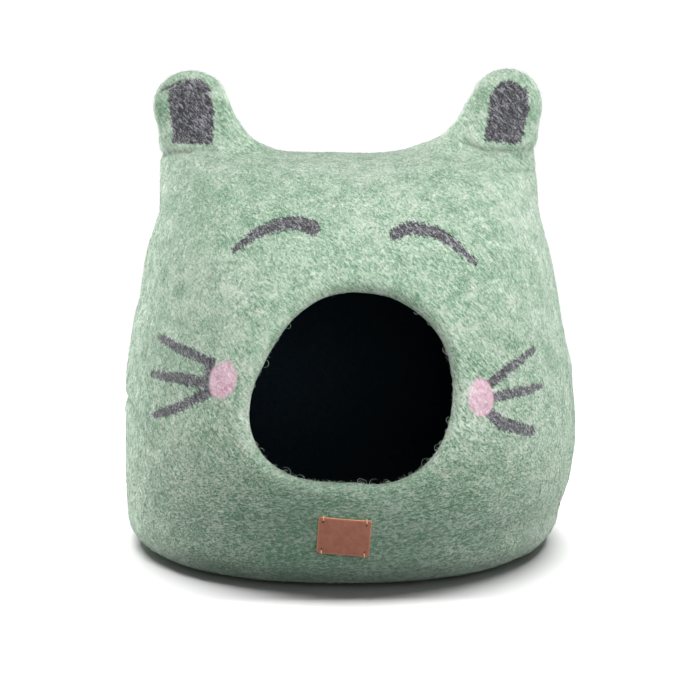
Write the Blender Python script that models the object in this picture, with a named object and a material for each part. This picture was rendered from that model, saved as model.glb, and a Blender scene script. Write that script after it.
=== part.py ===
"""Felt cat cave: a hollow body of thick wool felt with two ears, a round mouth and a leather patch.

The cave stands on the floor at z = 0 and its mouth faces -Y. Sizes are in metres and +Z is up.
Seen from the front, the body's outline and half depth at each place (x, z) come from short tables
of levels. The skin is lofted along lines that run from the mouth's lip over the front, round the
outline or across the floor, and up the back to one pole.
"""

import math

import bmesh
import bpy
import numpy as np

# ------------------------------------------------------------------ driving sizes
WALL = 0.009                # the felt's thickness
SADDLE_HEIGHT = 0.386       # floor to the ridge, at its lowest place between the ears
RIDGE_RISE = 0.012          # how much higher the ridge runs at EAR_DISTANCE to either side
EAR_DISTANCE = 0.150        # from the middle to an ear
RIDGE_END = 1.2             # the ridge stops rising at this many ear distances
FLOOR_EDGE_RADIUS = 0.032   # the soft round from the flat underside to the walls
DOME_START = 0.130          # the level where the front and back start to close in
DOME_POWER = 3.2            # how late they close: 2 is an ellipse, more is boxier
BODY_SHOULDER = 0.20        # how round the body's top corners are from the front, 0 to 1
HOLLOW_SHOULDER = 0.60      # the same for the hollow, under thick felt at the ears' roots
BACK_SHARE = 0.98           # the back's depth as a share of the front's
MIDDLE_Y = 0.0029           # the body's middle, so that the patch and the back are as far out

# The body level by level: half widths to the left and right, half depth before the dome closes
# it, and the squareness of the level's outline (2 is an ellipse).
BODY_LEVELS = (
    # height, left, right, depth, squareness
    (0.000, 0.2240, 0.2090, 0.202, 2.3),
    (0.030, 0.2245, 0.2100, 0.205, 2.3),
    (0.070, 0.2255, 0.2215, 0.208, 2.3),
    (0.120, 0.2240, 0.2252, 0.209, 2.3),
    (0.170, 0.2220, 0.2215, 0.206, 2.3),
    (0.210, 0.2168, 0.2130, 0.201, 2.4),
    (0.250, 0.2070, 0.2055, 0.195, 2.5),
    (0.290, 0.2005, 0.1970, 0.188, 2.6),
    (0.330, 0.1885, 0.1860, 0.180, 2.7),
    (0.386, 0.1790, 0.1740, 0.168, 2.8),
)

# Each ear is a flat lobe between a wide round at its root and a smaller one at its tip.
EAR_LOBES = (
    # root x, root height, root radius, tip x, tip height, tip radius
    (-0.1315, 0.370, 0.0440, -0.1560, 0.4310, 0.0360),
    (0.1270, 0.370, 0.0460, 0.1530, 0.4340, 0.0350),
)
EAR_TIP_HALF_THICKNESS = 0.0145
EAR_ROOT_HALF_THICKNESS = 0.0190
EAR_BLUNTNESS = 4.0         # squareness of the lobe's cross-section
EAR_BLEND = 0.050           # reach of the soft fillet between ear and body
EAR_LEAN = 0.10             # forward lean of the ears above the ridge, as a slope
EAR_LEAN_START = 0.030      # how gradually the lean begins

# The mouth's lip, seen from the front: a mean radius and slow waves round it.
MOUTH_X = 0.0033
MOUTH_HEIGHT = 0.1843
MOUTH_RADIUS = 0.0939
MOUTH_WAVES = (
    # waves round the lip, cosine share, sine share
    (2, 0.028, 0.034),
    (3, -0.010, -0.052),
    (4, -0.017, 0.019),
)
LIP_BULGE = 0.45            # how far the rim's edge rounds in, as a share of the wall

# Where the lines of the skin run, for the right half: a place midway between lip and outline,
# and the direction in which the outline is met from there.
LINE_STATIONS = (
    # x, height, degrees above +X
    (0.000, 0.060, -90.0),
    (0.110, 0.070, -75.0),
    (0.150, 0.120, -35.0),
    (0.155, 0.190, 0.0),
    (0.145, 0.300, 0.0),
    (0.148, 0.410, 0.0),
    (0.152, 0.432, 90.0),
    (0.146, 0.415, 165.0),
    (0.120, 0.372, 135.0),
    (0.070, 0.335, 105.0),
    (0.000, 0.325, 90.0),
)
STATION_STEPS = 40          # fine steps between two stations
HOLLOW_VIA_WIDTH = 0.150    # the hollow's stations lie on an ellipse, this far out to the sides
HOLLOW_VIA_HEIGHT = 0.135   # and this far up and down
BACK_POLE_HEIGHT = 0.190
LINES = 120                 # lines round the skin
OUTER_RINGS = (30, 30)      # rings on the front and on the back of the outer skin
INNER_RINGS = (14, 14)      # the same on the hollow's side
EAR_ROOT_SOFTENED = 0.066   # the skin is smoothed this near to each ear's root, in x and z
EAR_ROOT_PASSES = 8         # how often it is smoothed there
FACES_KEPT = 0.36           # share of the lofted faces that the thinned skin keeps
FLOOR_SNAP = 0.0003         # the underside is flat up to this height
RING_CROWDING = 1.35        # more than 1 brings the rings closer together at the outline
FINE_STEPS = 220            # steps that each line is measured with
LONGEST_CAST = 0.300        # no outline lies further than this from its station
HALVINGS = 48               # steps of halving when a surface is searched for
SLOPE_STEP = 0.0005         # distance over which the wall's slope is taken
SMOOTH_FACTOR = 0.5         # how far one smoothing pass moves a point
SHARP_ANGLE = math.radians(50)  # edges that turn more than this are shaded sharp

# The felt's gentle unevenness, in the depth of the skin.
LUMPS = (
    # height of the lump, waves a metre along x and z, phase
    (0.0016, 3.7, 2.3, 0.6),
    (0.0012, -2.0, 4.3, 2.1),
    (0.0008, 5.7, 6.3, 4.0),
)
LUMPS_FULL_DEPTH = 0.120    # they reach full height where the skin is this far from the middle
LUMPS_FULL_HEIGHT = 0.050   # and this far above the floor

# The leather patch below the mouth.
PATCH_WIDTH = 0.0480
PATCH_HEIGHT = 0.0345
PATCH_THICKNESS = 0.0020
PATCH_CORNER_RADIUS = 0.0022
PATCH_CORNER_STEPS = 3
PATCH_X = -0.0055
PATCH_LEVEL = 0.0535
PATCH_TILT = math.radians(-4.3)
PATCH_GAP = 0.00045         # clearance between the leather and the felt
PATCH_CELL = 0.0062         # the plate is cut into cells of about this size, then bent
STITCH_HOLE_RADIUS = 0.0008
STITCH_HOLE_INSET = 0.0042  # from the patch's edges to the middle of each thread hole
STITCH_HOLE_SIDES = 10
STITCH_PIN_LENGTH = 3 * PATCH_THICKNESS
SAME_PLACE = 1e-6           # points closer than this are taken as one

FELT_GREEN = (0.335, 0.445, 0.345, 1.0)
LEATHER_BROWN = (0.235, 0.093, 0.063, 1.0)


# ------------------------------------------------------------------ the form, as formulas
def smooth_table(at, column, levels):
    """Read one column of a table of levels at any height, on curves that don't overshoot."""
    height = np.array([row[0] for row in levels])
    value = np.array([row[column] for row in levels])
    step = np.diff(height)
    slope = np.diff(value) / step
    turning = slope[1:] * slope[:-1] <= 0
    total = np.where(turning, 1.0, slope[1:] + slope[:-1])
    tangent = np.empty_like(value)
    tangent[1:-1] = np.where(turning, 0.0, 2 * slope[1:] * slope[:-1] / total)
    tangent[0] = slope[0]
    tangent[-1] = slope[-1]
    at = np.clip(at, height[0], height[-1])
    row = np.clip(np.searchsorted(height, at, side="right") - 1, 0, len(step) - 1)
    t = (at - height[row]) / step[row]
    start = value[row] * (1 + 2 * t) * (1 - t) ** 2 + tangent[row] * step[row] * t * (1 - t) ** 2
    end = value[row + 1] * t * t * (3 - 2 * t) + tangent[row + 1] * step[row] * t * t * (t - 1)
    return start + end


def round_inset(distance, radius):
    """How far a round of this radius draws an edge in, at a distance from its end."""
    short = np.clip(1 - distance / radius, 0.0, 1.0)
    return radius * (1 - np.sqrt(1 - short * short))


def smooth_max(first, second, reach):
    """The larger of two fields, blended where they are within reach of each other."""
    near = np.clip(1 - np.abs(first - second) / reach, 0.0, 1.0)
    return np.maximum(first, second) + near * near * reach / 4


def body_depth_squared(x, z, shoulder):
    """Squared half depth of the body at (x, z) seen from the front; below 0 outside its outline."""
    left = smooth_table(z, 1, BODY_LEVELS)
    right = smooth_table(z, 2, BODY_LEVELS)
    squareness = smooth_table(z, 4, BODY_LEVELS)
    inset = round_inset(z, FLOOR_EDGE_RADIUS)
    half_width = (left + right) / 2 - inset
    ridge = SADDLE_HEIGHT + RIDGE_RISE * np.minimum(np.abs(x / EAR_DISTANCE), RIDGE_END) ** 2
    rise = np.clip((z - DOME_START) / (ridge - DOME_START), 0.0, None)
    dome = 1 - rise ** DOME_POWER
    depth = smooth_table(z, 3, BODY_LEVELS) - inset
    across = (np.abs(x - (right - left) / 2) / half_width) ** squareness
    return depth * depth * (dome - np.maximum(dome, shoulder) * across)


def ear_depth_squared(x, z, lobe):
    """Squared half thickness of one ear at (x, z) seen from the front; below 0 outside it."""
    root_x, root_z, root_radius, tip_x, tip_z, tip_radius = lobe
    along_x = tip_x - root_x
    along_z = tip_z - root_z
    along = ((x - root_x) * along_x + (z - root_z) * along_z) / (along_x ** 2 + along_z ** 2)
    along = np.clip(along, 0.0, 1.0)
    away = np.hypot(x - root_x - along * along_x, z - root_z - along * along_z)
    radius = root_radius + (tip_radius - root_radius) * along
    grow = EAR_TIP_HALF_THICKNESS - EAR_ROOT_HALF_THICKNESS
    half_thickness = EAR_ROOT_HALF_THICKNESS + grow * along
    return half_thickness ** 2 * (1 - (away / radius) ** EAR_BLUNTNESS)


def outer_depth_squared(x, z):
    """Squared half depth of the whole outer form, body and ears, at (x, z) from the front."""
    field = body_depth_squared(x, z, BODY_SHOULDER)
    for lobe in EAR_LOBES:
        field = smooth_max(field, ear_depth_squared(x, z, lobe), EAR_BLEND ** 2)
    return field


def hollow_depth_squared(x, z):
    """The same for the form that the hollow follows, a wall's thickness outside it."""
    return body_depth_squared(x, z, HOLLOW_SHOULDER)


def front_back_middle(z):
    """Where the middle between front and back lies in y, which moves forward up the ears."""
    above = np.clip(z - SADDLE_HEIGHT, 0.0, None)
    return MIDDLE_Y - EAR_LEAN * above * above / (above + EAR_LEAN_START)


def unevenness(x, z):
    """The soft lumps of hand-felted wool, as a change of depth."""
    total = np.zeros_like(x)
    for height, along_x, along_z, phase in LUMPS:
        total = total + height * np.sin(2 * math.pi * (along_x * x + along_z * z) + phase)
    return total


def half_depth(field, x, z):
    """Half depth from its squared field, with the unevenness fading out towards the outline."""
    plain = np.sqrt(np.maximum(field(x, z), 0.0))
    fade = np.clip(plain / LUMPS_FULL_DEPTH, 0.0, 1.0) ** 2 * np.clip(z / LUMPS_FULL_HEIGHT, 0.0, 1.0)
    return plain + unevenness(x, z) * fade


# ------------------------------------------------------------------ lines of the skin
def outer_stations():
    """Fine stations all round the outer form, mirrored from the table's right half."""
    rows = np.array(LINE_STATIONS)
    right_half = []
    for first, second in zip(rows[:-1], rows[1:]):
        for step in range(STATION_STEPS):
            right_half.append(first + (second - first) * step / STATION_STEPS)
    right_half = np.array(right_half)
    last = rows[-1:]
    left_half = right_half[:0:-1] * (-1.0, 1.0, -1.0) + (0.0, 0.0, 180.0)
    return np.concatenate([right_half, last, left_half])


def hollow_stations():
    """Fine stations round the hollow, on an ellipse midway between lip and outline."""
    count = STATION_STEPS * 2 * (len(LINE_STATIONS) - 1)
    degrees = -90.0 + 360.0 * np.arange(count) / count
    turn = np.radians(degrees)
    x = HOLLOW_VIA_WIDTH * np.cos(turn)
    z = BACK_POLE_HEIGHT + HOLLOW_VIA_HEIGHT * np.sin(turn)
    return np.stack([x, z, degrees], axis=1)


def cast_outline(field, stations):
    """From each station, the place (x, z) where the outline or the floor is met."""
    turn = np.radians(stations[:, 2])
    near = np.zeros(len(stations))
    far = np.full(len(stations), LONGEST_CAST)
    for _ in range(HALVINGS):
        middle = (near + far) / 2
        x = stations[:, 0] + middle * np.cos(turn)
        z = stations[:, 1] + middle * np.sin(turn)
        inside = (field(x, np.maximum(z, 0.0)) > 0) & (z > 0)
        near = np.where(inside, middle, near)
        far = np.where(inside, far, middle)
    x = stations[:, 0] + near * np.cos(turn)
    z = stations[:, 1] + near * np.sin(turn)
    return np.stack([x, np.maximum(z, 0.0)], axis=1)


def spread_evenly(points, carried, count):
    """Places spaced evenly along a closed outline, with what is carried along it."""
    closed = np.vstack([points, points[:1]])
    length = np.concatenate([[0.0], np.cumsum(np.linalg.norm(np.diff(closed, axis=0), axis=1))])
    wanted = np.linspace(0.0, length[-1], count, endpoint=False)
    together = np.hstack([closed, np.vstack([carried, carried[:1]])])
    return np.stack([np.interp(wanted, length, column) for column in together.T], axis=1)


def lip_outline(count):
    """The lip seen from the front, from its lowest place and round by way of +X."""
    turn = -math.pi / 2 + 2 * math.pi * np.arange(count) / count
    radius = np.full(count, MOUTH_RADIUS)
    for waves, cosine, sine in MOUTH_WAVES:
        radius += MOUTH_RADIUS * (cosine * np.cos(waves * turn) + sine * np.sin(waves * turn))
    x = MOUTH_X + radius * np.cos(turn)
    z = MOUTH_HEIGHT + radius * np.sin(turn)
    return np.stack([x, z], axis=1)


def run_line(field, start, via, end, side):
    """One line of the skin on the front (side -1) or back (side 1), from start to the outline."""
    step = np.linspace(0.0, 1.0, FINE_STEPS)
    t = (1 - (1 - step) ** 2)[:, None]
    path = (1 - t) ** 2 * start + 2 * t * (1 - t) * via + t * t * end
    x = path[:, 0]
    z = path[:, 1]
    share = 1.0 if side < 0 else BACK_SHARE
    y = front_back_middle(z) + side * share * half_depth(field, x, z)
    line = np.stack([x, y, z], axis=1)
    outline = [end[0], front_back_middle(end[1]), end[1]]
    return np.vstack([line, outline])


def even_places(line, count):
    """Places along a line by its length, the first and last kept, closer together at its end."""
    length = np.concatenate([[0.0], np.cumsum(np.linalg.norm(np.diff(line, axis=0), axis=1))])
    share = 1 - (1 - np.linspace(0.0, 1.0, count)) ** RING_CROWDING
    return np.stack([np.interp(share * length[-1], length, column) for column in line.T], axis=1)


def skin_rings(field, stations, lines, rings):
    """The skin as rings of points, from the lip to the last ring before the back pole."""
    front_rings, back_rings = rings
    outline = cast_outline(field, stations)
    spread = spread_evenly(outline, stations[:, :2], lines)
    lip = lip_outline(lines)
    pole = np.array([0.0, BACK_POLE_HEIGHT])
    columns = []
    for (end_x, end_z, via_x, via_z), start in zip(spread, lip):
        end = np.array([end_x, end_z])
        via = np.array([via_x, via_z])
        front = even_places(run_line(field, start, via, end, -1), front_rings + 1)
        back = even_places(run_line(field, pole, via, end, 1), back_rings + 1)
        columns.append(np.vstack([front, back[-2:0:-1]]))
    return np.array(columns).transpose(1, 0, 2)


def pole_point(field):
    """The back pole, where all lines end."""
    x = np.array([0.0])
    z = np.array([BACK_POLE_HEIGHT])
    y = front_back_middle(z) + BACK_SHARE * half_depth(field, x, z)
    return np.array([0.0, y[0], BACK_POLE_HEIGHT])


def ring_normals(rings, pole):
    """Outward directions at the points of the rings."""
    along = np.gradient(np.concatenate([rings, np.broadcast_to(pole, (1, *rings.shape[1:]))]), axis=0)
    along = along[:-1]
    around = np.roll(rings, -1, axis=1) - np.roll(rings, 1, axis=1)
    normal = np.cross(along, around)
    return normal / np.linalg.norm(normal, axis=2, keepdims=True)


# ------------------------------------------------------------------ meshes
def loft_rings(bm, rings, pole):
    """Skin a list of closed rings and end the last one on a pole."""
    loops = [[bm.verts.new(point) for point in ring] for ring in rings]
    for lower, upper in zip(loops[:-1], loops[1:]):
        for i, vert in enumerate(lower):
            j = (i + 1) % len(lower)
            bm.faces.new((vert, lower[j], upper[j], upper[i]))
    tip = bm.verts.new(pole)
    for i, vert in enumerate(loops[-1]):
        bm.faces.new((vert, loops[-1][(i + 1) % len(loops[-1])], tip))
    return loops[0]


def join_rings(bm, first, second):
    """A band of faces between two rings of vertices."""
    for i, vert in enumerate(first):
        j = (i + 1) % len(first)
        bm.faces.new((vert, second[i], second[j], first[j]))


def changed_mesh(mesh, kind, **settings):
    """The mesh as one modifier of this kind leaves it."""
    item = bpy.data.objects.new(mesh.name, mesh)
    bpy.context.scene.collection.objects.link(item)
    modifier = item.modifiers.new(kind.lower(), kind)
    for name, value in settings.items():
        setattr(modifier, name, value)
    bpy.context.view_layer.update()
    evaluated = item.evaluated_get(bpy.context.evaluated_depsgraph_get())
    changed = bpy.data.meshes.new_from_object(evaluated)
    bpy.data.objects.remove(item, do_unlink=True)
    return changed


def soften_ear_roots(bm):
    """Smooth the skin where the ears rise out of the body."""
    roots = []
    for vert in bm.verts:
        for root_x, root_z, *_ in EAR_LOBES:
            if math.hypot(vert.co.x - root_x, vert.co.z - root_z) < EAR_ROOT_SOFTENED:
                roots.append(vert)
    for _ in range(EAR_ROOT_PASSES):
        bmesh.ops.smooth_vert(
            bm, verts=roots, factor=SMOOTH_FACTOR, use_axis_x=True, use_axis_y=True, use_axis_z=True
        )


def felt_shell_mesh():
    """The whole felt shell: outer skin with ears, hollow inside, and the rounded lip between."""
    outer = skin_rings(outer_depth_squared, outer_stations(), LINES, OUTER_RINGS)
    hollow = skin_rings(hollow_depth_squared, hollow_stations(), LINES, INNER_RINGS)
    hollow_pole = pole_point(hollow_depth_squared)
    inner = hollow - WALL * ring_normals(hollow, hollow_pole)
    inner[0] = outer[0] - WALL * ring_normals(outer, pole_point(outer_depth_squared))[0]
    bm = bmesh.new()
    outer_lip = loft_rings(bm, outer, pole_point(outer_depth_squared))
    inner_lip = loft_rings(bm, inner, hollow_pole - np.array([0.0, WALL, 0.0]))
    into_mouth = outer[0] - outer[1]
    into_mouth /= np.linalg.norm(into_mouth, axis=1, keepdims=True)
    rim = (outer[0] + inner[0]) / 2 + LIP_BULGE * WALL * into_mouth
    rim_loop = [bm.verts.new(point) for point in rim]
    join_rings(bm, outer_lip, rim_loop)
    join_rings(bm, rim_loop, inner_lip)
    soften_ear_roots(bm)
    bmesh.ops.recalc_face_normals(bm, faces=bm.faces)
    mesh = bpy.data.meshes.new("felt_shell")
    bm.to_mesh(mesh)
    bm.free()
    thinned = changed_mesh(mesh, "DECIMATE", ratio=FACES_KEPT)
    for vert in thinned.vertices:
        if vert.co.z < FLOOR_SNAP:
            vert.co.z = 0.0
    return thinned


def wall_front(x, z):
    """The y of the front wall at (x, z)."""
    return front_back_middle(z) - half_depth(outer_depth_squared, x, z)


def wall_normal(x, z):
    """The front wall's outward direction at (x, z)."""
    slope_x = (wall_front(x + SLOPE_STEP, z) - wall_front(x - SLOPE_STEP, z)) / (2 * SLOPE_STEP)
    slope_z = (wall_front(x, z + SLOPE_STEP) - wall_front(x, z - SLOPE_STEP)) / (2 * SLOPE_STEP)
    normal = np.stack([slope_x, -np.ones_like(x), slope_z], axis=-1)
    return normal / np.linalg.norm(normal, axis=-1, keepdims=True)


def bend_to_wall(flat):
    """Lay the flat plate (x across, y up, z out) on the wall, each point along its normal."""
    centre_x = np.array([PATCH_X])
    centre_z = np.array([PATCH_LEVEL])
    normal = wall_normal(centre_x, centre_z)[0]
    across = np.array([-normal[1], normal[0], 0.0])
    across /= np.linalg.norm(across)
    up = np.cross(normal, across)
    turned_x = flat[:, 0] * math.cos(PATCH_TILT) - flat[:, 1] * math.sin(PATCH_TILT)
    turned_y = flat[:, 0] * math.sin(PATCH_TILT) + flat[:, 1] * math.cos(PATCH_TILT)
    centre = np.array([PATCH_X, wall_front(centre_x, centre_z)[0], PATCH_LEVEL])
    plane = centre + turned_x[:, None] * across + turned_y[:, None] * up
    near = np.full(len(flat), -PATCH_HEIGHT)
    far = np.full(len(flat), PATCH_HEIGHT)
    for _ in range(HALVINGS):
        middle = (near + far) / 2
        point = plane + middle[:, None] * normal
        buried = point[:, 1] > wall_front(point[:, 0], point[:, 2])
        near = np.where(buried, middle, near)
        far = np.where(buried, far, middle)
    on_wall = plane + near[:, None] * normal
    out = wall_normal(on_wall[:, 0], on_wall[:, 2])
    return on_wall + out * (PATCH_GAP + flat[:, 2])[:, None]


def stitch_hole_places():
    """The middles of the four thread holes, on the flat patch."""
    x = PATCH_WIDTH / 2 - STITCH_HOLE_INSET
    y = PATCH_HEIGHT / 2 - STITCH_HOLE_INSET
    return [(-x, y), (x, y), (x, -y), (-x, -y)]


def flat_patch_mesh():
    """The flat leather plate with round corners and its four thread holes."""
    bm = bmesh.new()
    bmesh.ops.create_cube(bm, size=1.0)
    bmesh.ops.scale(bm, vec=(PATCH_WIDTH, PATCH_HEIGHT, PATCH_THICKNESS), verts=bm.verts)
    bmesh.ops.translate(bm, vec=(0.0, 0.0, PATCH_THICKNESS / 2), verts=bm.verts)
    upright = [edge for edge in bm.edges if abs(edge.verts[0].co.z - edge.verts[1].co.z) > SAME_PLACE]
    bmesh.ops.bevel(
        bm,
        geom=upright,
        offset=PATCH_CORNER_RADIUS,
        segments=PATCH_CORNER_STEPS,
        profile=0.5,
        affect="EDGES",
        material=-1,
    )
    plate = bpy.data.meshes.new("flat_patch")
    bm.to_mesh(plate)
    bm.clear()
    for x, y in stitch_hole_places():
        pin = bmesh.ops.create_cone(
            bm,
            cap_ends=True,
            segments=STITCH_HOLE_SIDES,
            radius1=STITCH_HOLE_RADIUS,
            radius2=STITCH_HOLE_RADIUS,
            depth=STITCH_PIN_LENGTH,
        )
        bmesh.ops.translate(bm, vec=(x, y, PATCH_THICKNESS / 2), verts=pin["verts"])
    pins = bpy.data.meshes.new("stitch_pins")
    bm.to_mesh(pins)
    bm.free()
    cutter = bpy.data.objects.new("stitch_pins", pins)
    bpy.context.scene.collection.objects.link(cutter)
    drilled = changed_mesh(plate, "BOOLEAN", operation="DIFFERENCE", solver="EXACT", object=cutter)
    bpy.data.objects.remove(cutter, do_unlink=True)
    return drilled


def leather_patch_mesh():
    """The leather patch: the flat plate cut into small cells and bent to the wall."""
    flat = flat_patch_mesh()
    bm = bmesh.new()
    bm.from_mesh(flat)
    for axis, size in ((0, PATCH_WIDTH), (1, PATCH_HEIGHT)):
        cells = round(size / PATCH_CELL)
        for i in range(1, cells):
            place = [0.0, 0.0, 0.0]
            place[axis] = size * (i / cells - 0.5)
            direction = [0.0, 0.0, 0.0]
            direction[axis] = 1.0
            geometry = bm.verts[:] + bm.edges[:] + bm.faces[:]
            bmesh.ops.bisect_plane(
                bm, geom=geometry, dist=SAME_PLACE, plane_co=place, plane_no=direction
            )
    bmesh.ops.triangulate(bm, faces=bm.faces)
    flat_points = np.array([vert.co[:] for vert in bm.verts])
    for vert, point in zip(bm.verts, bend_to_wall(flat_points)):
        vert.co = point
    mesh = bpy.data.meshes.new("leather_patch")
    bm.to_mesh(mesh)
    bm.free()
    return mesh


# ------------------------------------------------------------------ objects
def finish(name, colour, roughness):
    """A plain material with the part's colour."""
    material = bpy.data.materials.new(name)
    material.use_nodes = True
    shader = material.node_tree.nodes["Principled BSDF"]
    shader.inputs["Base Color"].default_value = colour
    shader.inputs["Roughness"].default_value = roughness
    shader.inputs["Metallic"].default_value = 0.0
    material.diffuse_color = colour
    return material


def add_part(collection, name, mesh, material):
    """One named sub-part in the cave's collection."""
    mesh.materials.clear()
    mesh.materials.append(material)
    mesh.shade_smooth()
    mesh.set_sharp_from_angle(angle=SHARP_ANGLE)
    collection.objects.link(bpy.data.objects.new(name, mesh))


def build_cave():
    """Clear the scene and build the cave."""
    for item in list(bpy.data.objects):
        bpy.data.objects.remove(item, do_unlink=True)
    cave = bpy.data.collections.new("felt_cat_cave")
    bpy.context.scene.collection.children.link(cave)
    add_part(cave, "felt_shell", felt_shell_mesh(), finish("wool_felt", FELT_GREEN, 0.95))
    add_part(cave, "leather_patch", leather_patch_mesh(), finish("brown_leather", LEATHER_BROWN, 0.6))


build_cave()
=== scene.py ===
"""Dresses the felt cat cave: its felted shell with loose wool, the leather patch and its stitches.

Sizes are in metres in the part's own frame: +Z is up, the mouth faces -Y, and (x, z) is a place
seen from the front.
"""

import logging
import math
from collections.abc import Callable
from dataclasses import dataclass, field
from enum import Enum

import bmesh
import bpy
import numpy as np
from mathutils import Matrix, Vector, noise


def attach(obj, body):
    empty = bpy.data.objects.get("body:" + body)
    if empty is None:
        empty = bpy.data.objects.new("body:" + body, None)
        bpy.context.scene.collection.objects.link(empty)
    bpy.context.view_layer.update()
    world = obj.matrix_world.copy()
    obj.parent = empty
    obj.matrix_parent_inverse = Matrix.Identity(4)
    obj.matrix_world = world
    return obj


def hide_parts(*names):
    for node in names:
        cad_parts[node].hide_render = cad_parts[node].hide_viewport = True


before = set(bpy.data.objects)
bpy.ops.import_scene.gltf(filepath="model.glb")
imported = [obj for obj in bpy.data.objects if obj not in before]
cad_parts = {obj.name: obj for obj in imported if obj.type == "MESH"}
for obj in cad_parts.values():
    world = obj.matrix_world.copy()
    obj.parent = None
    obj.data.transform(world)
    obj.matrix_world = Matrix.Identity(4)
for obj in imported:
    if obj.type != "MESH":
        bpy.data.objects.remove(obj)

BODY = "root"
MILLIMETRE = 0.001
TINY = 1e-6

Colour = bpy.types.NodeSocket | tuple[float, float, float]
Field = Callable[[np.ndarray, np.ndarray], np.ndarray]
Triple = tuple[float, float, float]


# ------------------------------------ numbers, in arrays or in materials
class Value:
    """A number at each point of a surface, worked out by a material's nodes."""

    def __init__(self, nodes: "Nodes", socket: bpy.types.NodeSocket) -> None:
        """Wrap an output socket of the material that nodes builds."""
        self.nodes = nodes
        self.socket = socket

    def __add__(self, other: "Value | float") -> "Value":
        """Add."""
        return self.nodes.math("ADD", self, other)

    def __radd__(self, other: float) -> "Value":
        """Add, with the number first."""
        return self.nodes.math("ADD", other, self)

    def __sub__(self, other: "Value | float") -> "Value":
        """Subtract."""
        return self.nodes.math("SUBTRACT", self, other)

    def __rsub__(self, other: float) -> "Value":
        """Subtract this from a number."""
        return self.nodes.math("SUBTRACT", other, self)

    def __mul__(self, other: "Value | float") -> "Value":
        """Multiply."""
        return self.nodes.math("MULTIPLY", self, other)

    def __rmul__(self, other: float) -> "Value":
        """Multiply, with the number first."""
        return self.nodes.math("MULTIPLY", other, self)

    def __abs__(self) -> "Value":
        """Take the size without its sign."""
        return self.nodes.math("ABSOLUTE", self)


Number = Value | np.ndarray | float


def picked(operation: str, in_arrays: Callable, first: Number, second: Number) -> Number:
    """Pick one of two numbers at each point, in a material or in arrays.

    Args:
        operation: What the Math node does.
        in_arrays: What does the same to arrays.
        first: One number.
        second: The other number.

    Returns:
        The number picked.
    """
    for number in (first, second):
        if isinstance(number, Value):
            return number.nodes.math(operation, first, second)
    return in_arrays(first, second)


def larger(first: Number, second: Number) -> Number:
    """The larger of two numbers, in a material or in arrays."""
    return picked("MAXIMUM", np.maximum, first, second)


def smaller(first: Number, second: Number) -> Number:
    """The smaller of two numbers, in a material or in arrays."""
    return picked("MINIMUM", np.minimum, first, second)


def between_zero_and_one(number: Number) -> Number:
    """The number, kept from 0 to 1."""
    return smaller(larger(number, 0.0), 1.0)


def ramped(number: Number, start: float, gain: float) -> Number:
    """0 up to a start, and from there rising by a gain to 1."""
    return between_zero_and_one((number - start) * gain)


def length_of(across: Number, up: Number) -> Number:
    """How long a step is.

    Args:
        across: Its part across.
        up: Its part up.

    Returns:
        Its length.
    """
    square = across * across + up * up
    if isinstance(square, Value):
        return square.nodes.math("SQRT", square)
    return np.sqrt(square)


def unit(vectors: np.ndarray) -> np.ndarray:
    """The vectors, each made 1 long."""
    return vectors / np.linalg.norm(vectors, axis=-1, keepdims=True)


def lengths_along(line: np.ndarray) -> np.ndarray:
    """How far along a line each of its points lies."""
    return np.concatenate([[0.0], np.cumsum(np.linalg.norm(np.diff(line, axis=0), axis=1))])


def interpolated(at: np.ndarray, length: np.ndarray, rows: np.ndarray) -> np.ndarray:
    """The rows that belong to these lengths, between the rows whose lengths are known."""
    return np.stack([np.interp(at, length, column) for column in rows.T], axis=1)


@dataclass(frozen=True)
class Waves:
    """Smooth noise: its waves in a metre, its finer layers, and how far it is twisted."""

    count: float
    detail: float = 2.0
    twist: float = 0.0


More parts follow.
